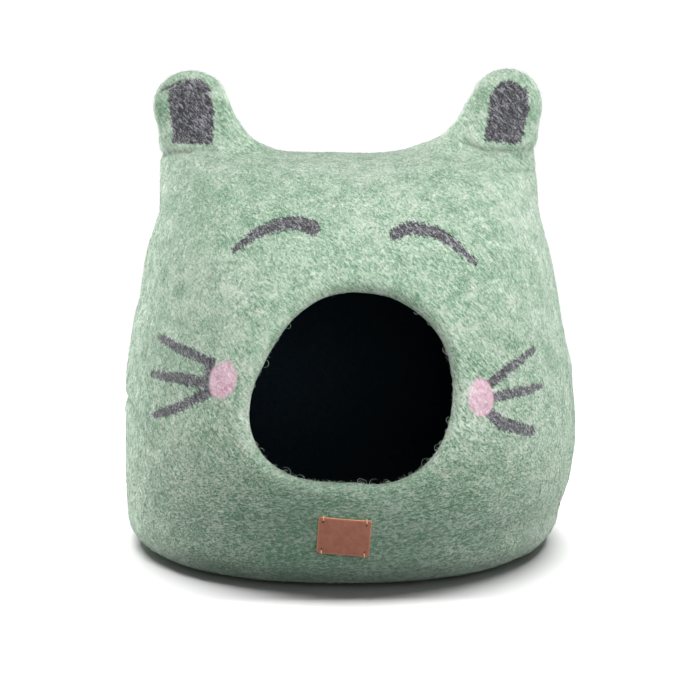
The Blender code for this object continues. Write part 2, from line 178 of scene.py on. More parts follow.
class Nodes:
    """Builds the nodes of a material or a world from Python expressions."""

    def __init__(
        self,
        data: bpy.types.Material | bpy.types.World,
        output: str = "ShaderNodeOutputMaterial",
    ) -> None:
        """Start with no nodes but the output.

        Args:
            data: The new material or world.
            output: The output node's type.
        """
        self.data = data
        self.data.use_nodes = True
        self.tree = self.data.node_tree
        self.tree.nodes.clear()
        self.output = self.add(output)

    def add(
        self, kind: str, settings: dict | None = None, inputs: dict | None = None
    ) -> bpy.types.Node:
        """Add a node.

        Args:
            kind: The node's type.
            settings: Its settings, which are set first.
            inputs: Values or links for its sockets, by name or number.

        Returns:
            The new node.
        """
        node = self.tree.nodes.new(kind)
        for name, value in (settings or {}).items():
            if name == "stops":
                self.set_stops(node.color_ramp, value)
            else:
                setattr(node, name, value)
        for key, value in (inputs or {}).items():
            socket = node.inputs[key]
            source = value.socket if isinstance(value, Value) else value
            if isinstance(source, bpy.types.NodeSocket):
                self.tree.links.new(source, socket)
            elif socket.type == "RGBA" and len(source) == 3:
                socket.default_value = (*source, 1.0)
            else:
                socket.default_value = source
        return node

    def set_stops(self, ramp: bpy.types.ColorRamp, stops: tuple) -> None:
        """Set a ramp's stops.

        Args:
            ramp: The ramp.
            stops: Pairs of place and colour.
        """
        while len(ramp.elements) < len(stops):
            ramp.elements.new(1.0)
        for element, (place, colour) in zip(ramp.elements, stops):
            element.position = place
            element.color = (*colour, 1.0)

    def math(self, operation: str, *operands: "Value | float") -> Value:
        """One Math node on values or plain numbers."""
        node = self.add("ShaderNodeMath", {"operation": operation}, dict(enumerate(operands)))
        return Value(self, node.outputs[0])

    def place(self) -> tuple[bpy.types.NodeSocket, Value, Value, Value]:
        """The object coordinates, as a vector and as x, y and z.

        Returns:
            The vector's socket, then x, y and z.
        """
        vector = self.add("ShaderNodeTexCoord").outputs["Object"]
        parts = self.add("ShaderNodeSeparateXYZ", inputs={"Vector": vector})
        return vector, *(Value(self, parts.outputs[name]) for name in "XYZ")

    def noise(self, vector: bpy.types.NodeSocket, waves: Waves) -> Value:
        """Smooth noise from about 0 to 1.

        Args:
            vector: The coordinates it reads.
            waves: What it is like.

        Returns:
            The noise.
        """
        inputs = {"Scale": waves.count, "Detail": waves.detail, "Distortion": waves.twist}
        node = self.add("ShaderNodeTexNoise", inputs={"Vector": vector, **inputs})
        return Value(self, node.outputs["Fac"])

    def attribute(self, name: str, output: str = "Fac") -> bpy.types.NodeSocket:
        """A mesh attribute's socket."""
        return self.add("ShaderNodeAttribute", {"attribute_name": name}).outputs[output]

    def mark(self, name: str) -> Value:
        """A mesh attribute's number."""
        return Value(self, self.attribute(name))

    def blend(self, factor: "Value | float", first: Colour, second: Colour) -> bpy.types.NodeSocket:
        """A colour between two colours.

        Args:
            factor: 0 for the first and 1 for the second.
            first: A colour or a colour socket.
            second: A colour or a colour socket.

        Returns:
            The mixed colour's socket.
        """
        node = self.add(
            "ShaderNodeMix",
            {"data_type": "RGBA", "clamp_factor": True},
            {0: factor, 6: first, 7: second},
        )
        return node.outputs[2]

    def tinted(self, colour: bpy.types.NodeSocket, amount: Value) -> bpy.types.NodeSocket:
        """A colour made lighter or darker, where amount is 1 for no change."""
        inputs = {"Vector": colour, "Scale": amount}
        return self.add("ShaderNodeVectorMath", {"operation": "SCALE"}, inputs).outputs[0]

    def bump(self, height: Value, distance: float) -> bpy.types.NodeSocket:
        """The normal of a relief from 0 to 1, where 1 stands this many metres high."""
        inputs = {"Height": height, "Distance": distance, "Strength": 1.0}
        return self.add("ShaderNodeBump", inputs=inputs).outputs["Normal"]

    def end(self, shader: bpy.types.Node) -> bpy.types.Material | bpy.types.World:
        """Show this shader, and hand over the finished material or world."""
        self.tree.links.new(shader.outputs[0], self.output.inputs["Surface"])
        return self.data

    def principled(self, inputs: dict) -> bpy.types.Material:
        """End the material in a Principled BSDF with these inputs."""
        return self.end(self.add("ShaderNodeBsdfPrincipled", inputs=inputs))


@dataclass(frozen=True)
class Lean:
    """How a pattern of fibres lies: its turn in degrees and its scale, about and along x, y, z."""

    turn: Triple
    scale: Triple

    def of(self, nodes: Nodes, vector: bpy.types.NodeSocket) -> bpy.types.NodeSocket:
        """Turn and scale coordinates.

        Args:
            nodes: The material's nodes.
            vector: The coordinates.

        Returns:
            The changed coordinates.
        """
        turn = [math.radians(degrees) for degrees in self.turn]
        turned = nodes.add("ShaderNodeMapping", inputs={"Vector": vector, "Rotation": turn})
        product = nodes.add(
            "ShaderNodeVectorMath", {"operation": "MULTIPLY"}, {0: turned.outputs[0], 1: self.scale}
        )
        return product.outputs[0]


# ------------------------------------ meshes
def finished(bm: bmesh.types.BMesh, name: str) -> bpy.types.Mesh:
    """Make a mesh of what was built.

    Args:
        bm: What was built, which is let go.
        name: The mesh's name.

    Returns:
        The mesh.
    """
    mesh = bpy.data.meshes.new(name)
    bm.to_mesh(mesh)
    bm.free()
    return mesh


def rising_edges(bm: bmesh.types.BMesh, least: float = 0.5) -> list[bmesh.types.BMEdge]:
    """The edges that rise by more than the least."""
    return [edge for edge in bm.edges if abs(edge.verts[0].co.z - edge.verts[1].co.z) > least]


def values_of(items: object, name: str, width: int, kind: type = np.float64) -> np.ndarray:
    """One property of all the items of a mesh.

    Args:
        items: The mesh's vertices, triangles or attribute values.
        name: The property.
        width: How many numbers each item has.
        kind: The type of number.

    Returns:
        The numbers, with a row for each item.
    """
    values = np.empty(len(items) * width, dtype=kind)
    items.foreach_get(name, values)
    return values.reshape(-1, width)


# ------------------------------------ the cave's form
@dataclass(frozen=True)
class Level:
    """The body at one height: half widths, half depth, and how square its outline is."""

    height: float
    left: float
    right: float
    depth: float
    squareness: float


@dataclass(frozen=True)
class EarLobe:
    """A flat lobe between a wide round at its root and a smaller one at its tip."""

    root_x: float
    root_z: float
    root_radius: float
    tip_x: float
    tip_z: float
    tip_radius: float


@dataclass(frozen=True)
class Station:
    """A place midway between lip and outline, and the direction in which the outline is met."""

    x: float
    z: float
    degrees: float


@dataclass(frozen=True)
class FeltForm:
    """The cave's form as formulas, the same as the solid's."""

    wall: float = 0.009
    saddle_height: float = 0.386
    ridge_rise: float = 0.012
    ear_distance: float = 0.150
    ridge_end: float = 1.2
    floor_edge_radius: float = 0.032
    dome_start: float = 0.130
    dome_power: float = 3.2
    body_shoulder: float = 0.20
    hollow_shoulder: float = 0.60
    back_share: float = 0.98
    middle_y: float = 0.0029
    levels: tuple[Level, ...] = (
        Level(0.000, 0.2240, 0.2090, 0.202, 2.3),
        Level(0.030, 0.2245, 0.2100, 0.205, 2.3),
        Level(0.070, 0.2255, 0.2215, 0.208, 2.3),
        Level(0.120, 0.2240, 0.2252, 0.209, 2.3),
        Level(0.170, 0.2220, 0.2215, 0.206, 2.3),
        Level(0.210, 0.2168, 0.2130, 0.201, 2.4),
        Level(0.250, 0.2070, 0.2055, 0.195, 2.5),
        Level(0.290, 0.2005, 0.1970, 0.188, 2.6),
        Level(0.330, 0.1885, 0.1860, 0.180, 2.7),
        Level(0.386, 0.1790, 0.1740, 0.168, 2.8),
    )
    ears: tuple[EarLobe, ...] = (
        EarLobe(-0.1315, 0.370, 0.0440, -0.1560, 0.4310, 0.0360),
        EarLobe(0.1270, 0.370, 0.0460, 0.1530, 0.4340, 0.0350),
    )
    ear_tip_half_thickness: float = 0.0145
    ear_root_half_thickness: float = 0.0190
    ear_bluntness: float = 4.0
    ear_blend: float = 0.050
    ear_lean: float = 0.10
    ear_lean_start: float = 0.030
    lumps: tuple[tuple[float, float, float, float], ...] = (
        # height, waves a metre along x and z, phase
        (0.0016, 3.7, 2.3, 0.6),
        (0.0012, -2.0, 4.3, 2.1),
        (0.0008, 5.7, 6.3, 4.0),
    )
    lumps_full_depth: float = 0.120
    lumps_full_height: float = 0.050
    slope_step: float = 0.0005

    def read(self, at: np.ndarray, column: str) -> np.ndarray:
        """Read one column of the levels, on curves that don't overshoot.

        Args:
            at: Heights.
            column: The column.

        Returns:
            Its value at each height.
        """
        height = np.array([level.height for level in self.levels])
        value = np.array([getattr(level, column) for level in self.levels])
        step = np.diff(height)
        slope = np.diff(value) / step
        turning = slope[1:] * slope[:-1] <= 0
        total = np.where(turning, 1.0, slope[1:] + slope[:-1])
        tangent = np.empty_like(value)
        tangent[1:-1] = np.where(turning, 0.0, 2 * slope[1:] * slope[:-1] / total)
        tangent[0] = slope[0]
        tangent[-1] = slope[-1]
        at = np.clip(at, height[0], height[-1])
        row = np.clip(np.searchsorted(height, at, side="right") - 1, 0, len(step) - 1)
        t = (at - height[row]) / step[row]
        left = 1 - t
        start = value[row] * (1 + 2 * t) * left**2 + tangent[row] * step[row] * t * left**2
        end = value[row + 1] * t * t * (3 - 2 * t) + tangent[row + 1] * step[row] * t * t * (t - 1)
        return start + end

    def body(self, x: np.ndarray, z: np.ndarray, shoulder: float) -> np.ndarray:
        """Squared half depth of the body, below 0 outside its outline.

        Args:
            x: Places across.
            z: Heights.
            shoulder: How far up the dome the outline keeps its width.

        Returns:
            The squared half depth at each place.
        """
        left = self.read(z, "left")
        right = self.read(z, "right")
        short = np.clip(1 - z / self.floor_edge_radius, 0.0, 1.0)
        inset = self.floor_edge_radius * (1 - np.sqrt(1 - short * short))
        half_width = (left + right) / 2 - inset
        beside = np.minimum(np.abs(x / self.ear_distance), self.ridge_end)
        ridge = self.saddle_height + self.ridge_rise * beside**2
        rise = np.clip((z - self.dome_start) / (ridge - self.dome_start), 0.0, None)
        dome = 1 - rise**self.dome_power
        depth = self.read(z, "depth") - inset
        across = (np.abs(x - (right - left) / 2) / half_width) ** self.read(z, "squareness")
        return depth * depth * (dome - np.maximum(dome, shoulder) * across)

    def ear(self, x: np.ndarray, z: np.ndarray, lobe: EarLobe) -> np.ndarray:
        """Squared half thickness of one ear, below 0 outside it.

        Args:
            x: Places across.
            z: Heights.
            lobe: The ear.

        Returns:
            The squared half thickness at each place.
        """
        run = np.array([lobe.tip_x - lobe.root_x, lobe.tip_z - lobe.root_z])
        along = ((x - lobe.root_x) * run[0] + (z - lobe.root_z) * run[1]) / (run @ run)
        along = np.clip(along, 0.0, 1.0)
        away = np.hypot(x - lobe.root_x - along * run[0], z - lobe.root_z - along * run[1])
        radius = lobe.root_radius + (lobe.tip_radius - lobe.root_radius) * along
        grow = self.ear_tip_half_thickness - self.ear_root_half_thickness
        thickness = self.ear_root_half_thickness + grow * along
        return thickness**2 * (1 - (away / radius) ** self.ear_bluntness)

    def outer(self, x: np.ndarray, z: np.ndarray) -> np.ndarray:
        """Squared half depth of the outer form, body and ears.

        Args:
            x: Places across.
            z: Heights.

        Returns:
            The squared half depth at each place.
        """
        total = self.body(x, z, self.body_shoulder)
        reach = self.ear_blend**2
        for lobe in self.ears:
            ear = self.ear(x, z, lobe)
            near = np.clip(1 - np.abs(total - ear) / reach, 0.0, 1.0)
            total = np.maximum(total, ear) + near * near * reach / 4
        return total

    def hollow(self, x: np.ndarray, z: np.ndarray) -> np.ndarray:
        """The same for the form that the hollow follows, a wall's thickness outside it."""
        return self.body(x, z, self.hollow_shoulder)

    def middle(self, z: np.ndarray) -> np.ndarray:
        """Where the middle between front and back lies in y, which moves forward up the ears."""
        above = np.clip(z - self.saddle_height, 0.0, None)
        return self.middle_y - self.ear_lean * above * above / (above + self.ear_lean_start)

    def half_depth(self, squared: Field, x: np.ndarray, z: np.ndarray) -> np.ndarray:
        """Half depth, with the soft lumps of hand-felted wool.

        Args:
            squared: The form's squared half depth.
            x: Places across.
            z: Heights.

        Returns:
            The half depth at each place.
        """
        plain = np.sqrt(np.maximum(squared(x, z), 0.0))
        lump = np.zeros_like(plain)
        for height, along_x, along_z, phase in self.lumps:
            lump = lump + height * np.sin(2 * math.pi * (along_x * x + along_z * z) + phase)
        fade = np.clip(plain / self.lumps_full_depth, 0.0, 1.0) ** 2
        return plain + lump * fade * np.clip(z / self.lumps_full_height, 0.0, 1.0)

    def wall_front(self, x: np.ndarray, z: np.ndarray) -> np.ndarray:
        """The y of the front wall at (x, z)."""
        return self.middle(z) - self.half_depth(self.outer, x, z)

    def wall_normal(self, x: np.ndarray, z: np.ndarray) -> np.ndarray:
        """The front wall's outward direction.

        Args:
            x: Places across.
            z: Heights.

        Returns:
            A unit vector at each place.
        """
        step = self.slope_step
        slope_x = (self.wall_front(x + step, z) - self.wall_front(x - step, z)) / (2 * step)
        slope_z = (self.wall_front(x, z + step) - self.wall_front(x, z - step)) / (2 * step)
        return unit(np.stack([slope_x, -np.ones_like(x), slope_z], axis=-1))


@dataclass(frozen=True)
class Mouth:
    """The lip seen from the front: a mean radius and slow waves round it."""

    x: float = 0.0033
    z: float = 0.1843
    radius: float = 0.0953
    waves: tuple[tuple[int, float, float], ...] = (
        # waves round the lip, cosine share, sine share
        (2, 0.039, 0.034),
        (3, -0.010, -0.052),
        (4, -0.017, 0.019),
    )

    def lip_radius(self, turn: np.ndarray) -> np.ndarray:
        """The lip's radius.

        Args:
            turn: Turns from +X towards +Z.

        Returns:
            The radius at each turn.
        """
        radius = np.full(len(turn), self.radius)
        for waves, cosine, sine in self.waves:
            radius += self.radius * (cosine * np.cos(waves * turn) + sine * np.sin(waves * turn))
        return radius

    def lip(self, turn: np.ndarray) -> np.ndarray:
        """Places (x, z) on the lip, at these turns."""
        radius = self.lip_radius(turn)
        return np.stack([self.x + radius * np.cos(turn), self.z + radius * np.sin(turn)], axis=1)

    def within_lip(self, x: np.ndarray, z: np.ndarray) -> np.ndarray:
        """How far places lie within the lip, towards the middle of the mouth."""
        turn = np.arctan2(z - self.z, x - self.x)
        return self.lip_radius(turn) - np.hypot(x - self.x, z - self.z)


class Skin(Enum):
    """The two skins of the felt."""

    OUTER = "outer"
    HOLLOW = "hollow"


@dataclass(frozen=True)
class SkinLines:
    """Lines of a skin from the lip over the front, round the outline and up the back to a pole."""

    form: FeltForm
    mouth: Mouth
    lines: int
    stations: tuple[Station, ...] = (
        Station(0.000, 0.060, -90.0),
        Station(0.110, 0.070, -75.0),
        Station(0.150, 0.120, -35.0),
        Station(0.155, 0.190, 0.0),
        Station(0.145, 0.300, 0.0),
        Station(0.148, 0.410, 0.0),
        Station(0.152, 0.432, 90.0),
        Station(0.146, 0.415, 165.0),
        Station(0.120, 0.372, 135.0),
        Station(0.070, 0.335, 105.0),
        Station(0.000, 0.325, 90.0),
    )
    station_steps: int = 60
    hollow_width: float = 0.150
    hollow_height: float = 0.135
    pole_height: float = 0.190
    end_crowding: float = 0.40
    fine_steps: int = 260
    longest_cast: float = 0.300
    pole_lead: float = 0.080
    halvings: int = 40

    def squared(self, skin: Skin) -> Field:
        """The squared half depth that a skin follows."""
        return self.form.outer if skin is Skin.OUTER else self.form.hollow

    def eased(self) -> np.ndarray:
        """Fine shares of a line, closer together towards the outline."""
        return (1 - (1 - np.linspace(0.0, 1.0, self.fine_steps)) ** 2)[:, None]

    def starts(self, skin: Skin) -> np.ndarray:
        """Fine stations all round.

        Args:
            skin: The skin whose lines pass them.

        Returns:
            Rows of x, z and degrees.
        """
        if skin is Skin.HOLLOW:
            count = 2 * self.station_steps * (len(self.stations) - 1)
            degrees = -90.0 + 360.0 * np.arange(count) / count
            x = self.hollow_width * np.cos(np.radians(degrees))
            z = self.pole_height + self.hollow_height * np.sin(np.radians(degrees))
            return np.stack([x, z, degrees], axis=1)
        rows = np.array([(place.x, place.z, place.degrees) for place in self.stations])
        share = np.arange(self.station_steps)[:, None] / self.station_steps
        right = np.concatenate([a + (b - a) * share for a, b in zip(rows, rows[1:])])
        left = right[:0:-1] * (-1.0, 1.0, -1.0) + (0.0, 0.0, 180.0)
        return np.concatenate([right, rows[-1:], left])

    def outline(self, skin: Skin) -> np.ndarray:
        """Where each fine station's cast meets the outline or the floor.

        Args:
            skin: The skin.

        Returns:
            Rows of x and z there, and the station's own x and z.
        """
        starts = self.starts(skin)
        turn = np.radians(starts[:, 2])
        near = np.zeros(len(starts))
        far = np.full(len(starts), self.longest_cast)
        for _ in range(self.halvings):
            middle = (near + far) / 2
            x = starts[:, 0] + middle * np.cos(turn)
            z = starts[:, 1] + middle * np.sin(turn)
            inside = (self.squared(skin)(x, np.maximum(z, 0.0)) > 0) & (z > 0)
            near = np.where(inside, middle, near)
            far = np.where(inside, far, middle)
        x = starts[:, 0] + near * np.cos(turn)
        z = np.maximum(starts[:, 1] + near * np.sin(turn), 0.0)
        return np.stack([x, z, starts[:, 0], starts[:, 1]], axis=1)

    def spread(self, skin: Skin) -> np.ndarray:
        """The outline's places and stations, spaced evenly along the outline.

        Args:
            skin: The skin.

        Returns:
            Rows as outline gives them, one for each line.
        """
        rows = self.outline(skin)
        closed = np.vstack([rows, rows[:1]])
        length = lengths_along(closed[:, :2])
        wanted = np.linspace(0.0, length[-1], self.lines, endpoint=False)
        return interpolated(wanted, length, closed)

    def over_front(self, start: np.ndarray, row: np.ndarray) -> np.ndarray:
        """The flat path of a line from the lip to the outline, bent by its station.

        Args:
            start: Its place (x, z) on the lip.
            row: Its place on the outline and its station.

        Returns:
            Places (x, z) along it.
        """
        end, via = row[:2], row[2:]
        t = self.eased()
        return (1 - t) ** 2 * start + 2 * t * (1 - t) * via + t * t * end

    def over_back(self, turn: float, row: np.ndarray) -> np.ndarray:
        """The flat path of a line from the back pole to the outline.

        Args:
            turn: Its direction at the pole, from +X towards +Z.
            row: Its place on the outline and its station.

        Returns:
            Places (x, z) along it.
        """
        pole = np.array([0.0, self.pole_height])
        lead = pole + self.pole_lead * np.array([math.cos(turn), math.sin(turn)])
        end, via = row[:2], row[2:]
        t = self.eased()
        path = (1 - t) ** 3 * pole + 3 * t * (1 - t) ** 2 * lead
        return path + 3 * t * t * (1 - t) * via + t**3 * end

    def laid(self, skin: Skin, path: np.ndarray, side: int) -> np.ndarray:
        """A flat path laid on a skin.

        Args:
            skin: The skin it lies on.
            path: Places (x, z) along it, up to the outline.
            side: -1 for the front and 1 for the back.

        Returns:
            Fine points along the line.
        """
        end = path[-1]
        share = 1.0 if side < 0 else self.form.back_share
        depth = self.form.half_depth(self.squared(skin), path[:, 0], path[:, 1])
        y = self.form.middle(path[:, 1]) + side * share * depth
        line = np.stack([path[:, 0], y, path[:, 1]], axis=1)
        return np.vstack([line, [end[0], self.form.middle(end[1]), end[1]]])

    def spaced(self, line: np.ndarray, count: int) -> np.ndarray:
        """Places along a line by its length, closer together at its two ends.

        Args:
            line: Fine points along the line.
            count: How many places to give.

        Returns:
            The places.
        """
        length = lengths_along(line)
        even = np.linspace(0.0, 1.0, count)
        share = even + self.end_crowding * ((1 - np.cos(math.pi * even)) / 2 - even)
        return interpolated(share * length[-1], length, line)

    def rings(self, skin: Skin, front: int, back: int) -> np.ndarray:
        """The skin as rings of points, from the lip to the last ring before the back pole.

        Args:
            skin: The skin.
            front: How many rings lie on the front.
            back: How many rings lie on the back.

        Returns:
            The points, by ring and line.
        """
        turns = -math.pi / 2 + 2 * math.pi * np.arange(self.lines) / self.lines
        columns = []
        for row, start, turn in zip(self.spread(skin), self.mouth.lip(turns), turns):
            ahead = self.spaced(self.laid(skin, self.over_front(start, row), -1), front + 1)
            behind = self.spaced(self.laid(skin, self.over_back(turn, row), 1), back + 1)
            columns.append(np.vstack([ahead, behind[-2:0:-1]]))
        return np.array(columns).transpose(1, 0, 2)

    def pole(self, skin: Skin) -> np.ndarray:
        """The back pole, where all lines end.

        Args:
            skin: The skin.

        Returns:
            The pole's place.
        """
        x = np.array([0.0])
        z = np.array([self.pole_height])
        depth = self.form.half_depth(self.squared(skin), x, z)
        y = self.form.middle(z) + self.form.back_share * depth
        return np.array([0.0, y[0], self.pole_height])


def ring_normals(rings: np.ndarray, pole: np.ndarray) -> np.ndarray:
    """Outward directions at the points of a skin.

    Args:
        rings: The skin's points, by ring and line.
        pole: The point where its lines end.

    Returns:
        A unit vector at each point.
    """
    ended = np.concatenate([rings, np.broadcast_to(pole, (1, *rings.shape[1:]))])
    along = np.gradient(ended, axis=0)[:-1]
    around = np.roll(rings, -1, axis=1) - np.roll(rings, 1, axis=1)
    return unit(np.cross(along, around))


# ------------------------------------ the coloured wool's places
@dataclass(frozen=True)
class Stroke:
    """A stroke of coloured wool: places along it, each with its half width."""

    places: tuple[Triple, ...]

    def outside(self, x: Number, z: Number) -> Number:
        """How far places lie outside the stroke, below 0 within it.

        Args:
            x: Places across.
            z: Heights.

        Returns:
            The distance at each place.
        """
        nearest = None
        for (x0, z0, half0), (x1, z1, half1) in zip(self.places, self.places[1:]):
            run_x, run_z = x1 - x0, z1 - z0
            square = run_x * run_x + run_z * run_z
            t = between_zero_and_one((x - x0) * (run_x / square) + (z - z0) * (run_z / square))
            half = half0 + t * (half1 - half0)
            away = length_of(x - x0 - t * run_x, z - z0 - t * run_z) - half
            nearest = away if nearest is None else smaller(nearest, away)
        return nearest


@dataclass(frozen=True)
class Spot:
    """An oval of coloured wool, which leans to the right by a slope."""

    x: float
    z: float
    half_width: float
    half_height: float
    lean: float

    def outside(self, x: Number, z: Number) -> Number:
        """How far places lie outside the spot, below 0 within it.

        Args:
            x: Places across.
            z: Heights.

        Returns:
            The distance at each place.
        """
        across = (x - self.x - (z - self.z) * self.lean) * (1 / self.half_width)
        up = (z - self.z) * (1 / self.half_height)
        return (length_of(across, up) - 1) * ((self.half_width + self.half_height) / 2)


@dataclass(frozen=True)
class Panel:
    """A panel of coloured wool inside straight sides, whose corners go anticlockwise."""

    corners: tuple[tuple[float, float], ...]

    def outside(self, x: Number, z: Number) -> Number:
        """How far places lie outside the panel, below 0 within it.

        Args:
            x: Places across.
            z: Heights.

        Returns:
            The distance at each place.
        """
        farthest = None
        for (x0, z0), (x1, z1) in zip(self.corners, self.corners[1:] + self.corners[:1]):
            length = math.hypot(x1 - x0, z1 - z0)
            out_x, out_z = (z1 - z0) / length, (x0 - x1) / length
            away = x * out_x + z * out_z - (x0 * out_x + z0 * out_z)
            farthest = away if farthest is None else larger(farthest, away)
        return farthest


Mark = Stroke | Spot | Panel


@dataclass(frozen=True)
class Face:
    """The coloured wool felted flush into the front: ear patches, eyes, cheeks and whiskers, and a
    painted crease shade at the left ear patch.
    """

    grey: tuple[Mark, ...] = (
        Panel((
            (-0.1733, 0.3972),
            (-0.1335, 0.3963),
            (-0.1318, 0.4260),
            (-0.1350, 0.4495),
            (-0.1431, 0.4593),
            (-0.1555, 0.4603),
            (-0.1770, 0.4492),
        )),
        Panel((
            (0.1306, 0.3995),
            (0.1600, 0.3965),
            (0.1672, 0.4002),
            (0.1744, 0.4330),
            (0.1715, 0.4490),
            (0.1600, 0.4565),
            (0.1480, 0.4575),
            (0.1405, 0.4510),
            (0.1364, 0.4433),
        )),
        # A thin dark line along the crease at the left ear patch's top: painted crease shade, in
        # grey wool.
        Stroke(((-0.1842, 0.4470, 0.0004), (-0.1765, 0.4507, 0.0014), (-0.1640, 0.4558, 0.0020))),
        Stroke((
            (-0.1075, 0.3072, 0.0020),
            (-0.0878, 0.3218, 0.0047),
            (-0.0661, 0.3302, 0.0050),
            (-0.0482, 0.3322, 0.0056),
            (-0.0342, 0.3276, 0.0064),
        )),
        Stroke((
            (0.0424, 0.3224, 0.0062),
            (0.0573, 0.3280, 0.0056),
            (0.0770, 0.3243, 0.0050),
            (0.0977, 0.3124, 0.0044),
            (0.1152, 0.2965, 0.0024),
        )),
        Stroke((
            (-0.1775, 0.2218, 0.0040),
            (-0.1500, 0.2145, 0.0052),
            (-0.1275, 0.2085, 0.0046),
            (-0.1300, 0.1905, 0.0046),
        )),
        Stroke(((-0.1850, 0.1868, 0.0034), (-0.1560, 0.1893, 0.0060), (-0.1270, 0.1885, 0.0056))),
        Stroke(((-0.1836, 0.1492, 0.0036), (-0.1560, 0.1640, 0.0046), (-0.1290, 0.1815, 0.0048))),
        Stroke(((0.1290, 0.1880, 0.0044), (0.1480, 0.2000, 0.0048), (0.1705, 0.2112, 0.0036))),
        Stroke(((0.1300, 0.1759, 0.0044), (0.1560, 0.1765, 0.0050), (0.1785, 0.1772, 0.0034))),
        Stroke(((0.1250, 0.1655, 0.0046), (0.1393, 0.1510, 0.0056), (0.1686, 0.1380, 0.0050))),
    )
    pink: tuple[Mark, ...] = (
        Spot(-0.1163, 0.1936, 0.0128, 0.0172, 0.20),
        Spot(0.1197, 0.1762, 0.0119, 0.0170, -0.10),
    )
    behind: float = -0.002

    def nearest(self, marks: tuple[Mark, ...], x: Number, z: Number) -> Number:
        """How far places lie outside the nearest of some marks.

        Args:
            marks: The marks.
            x: Places across.
            z: Heights.

        Returns:
            The distance at each place.
        """
        nearest = marks[0].outside(x, z)
        for mark in marks[1:]:
            nearest = smaller(nearest, mark.outside(x, z))
        return nearest

    def on_front(self, y: Number) -> Number:
        """1 on the front of the cave and 0 on its back."""
        return between_zero_and_one((self.behind - y) * (1 / MILLIMETRE))


# ------------------------------------ finishes
class Wool(Enum):
    """The wools that the cave is felted from, and the near-black painted shade of its hollow, as
    linear colours.
    """

    CREAM = (0.80, 0.84, 0.76)
    PALE = (0.53, 0.67, 0.53)
    GREEN = (0.240, 0.415, 0.270)
    DEEP = (0.075, 0.200, 0.120)
    GREY_PALE = (0.37, 0.36, 0.405)
    GREY = (0.080, 0.077, 0.092)
    GREY_DEEP = (0.019, 0.016, 0.023)
    PINK = (0.86, 0.56, 0.67)
    PINK_DEEP = (0.70, 0.34, 0.48)
    PINK_PALE = (0.95, 0.82, 0.87)
    # SHADE and SHADE_PALE: near-black painted shade for the hollow, not wools.
    SHADE = (0.006, 0.012, 0.019)
    SHADE_PALE = (0.018, 0.031, 0.040)


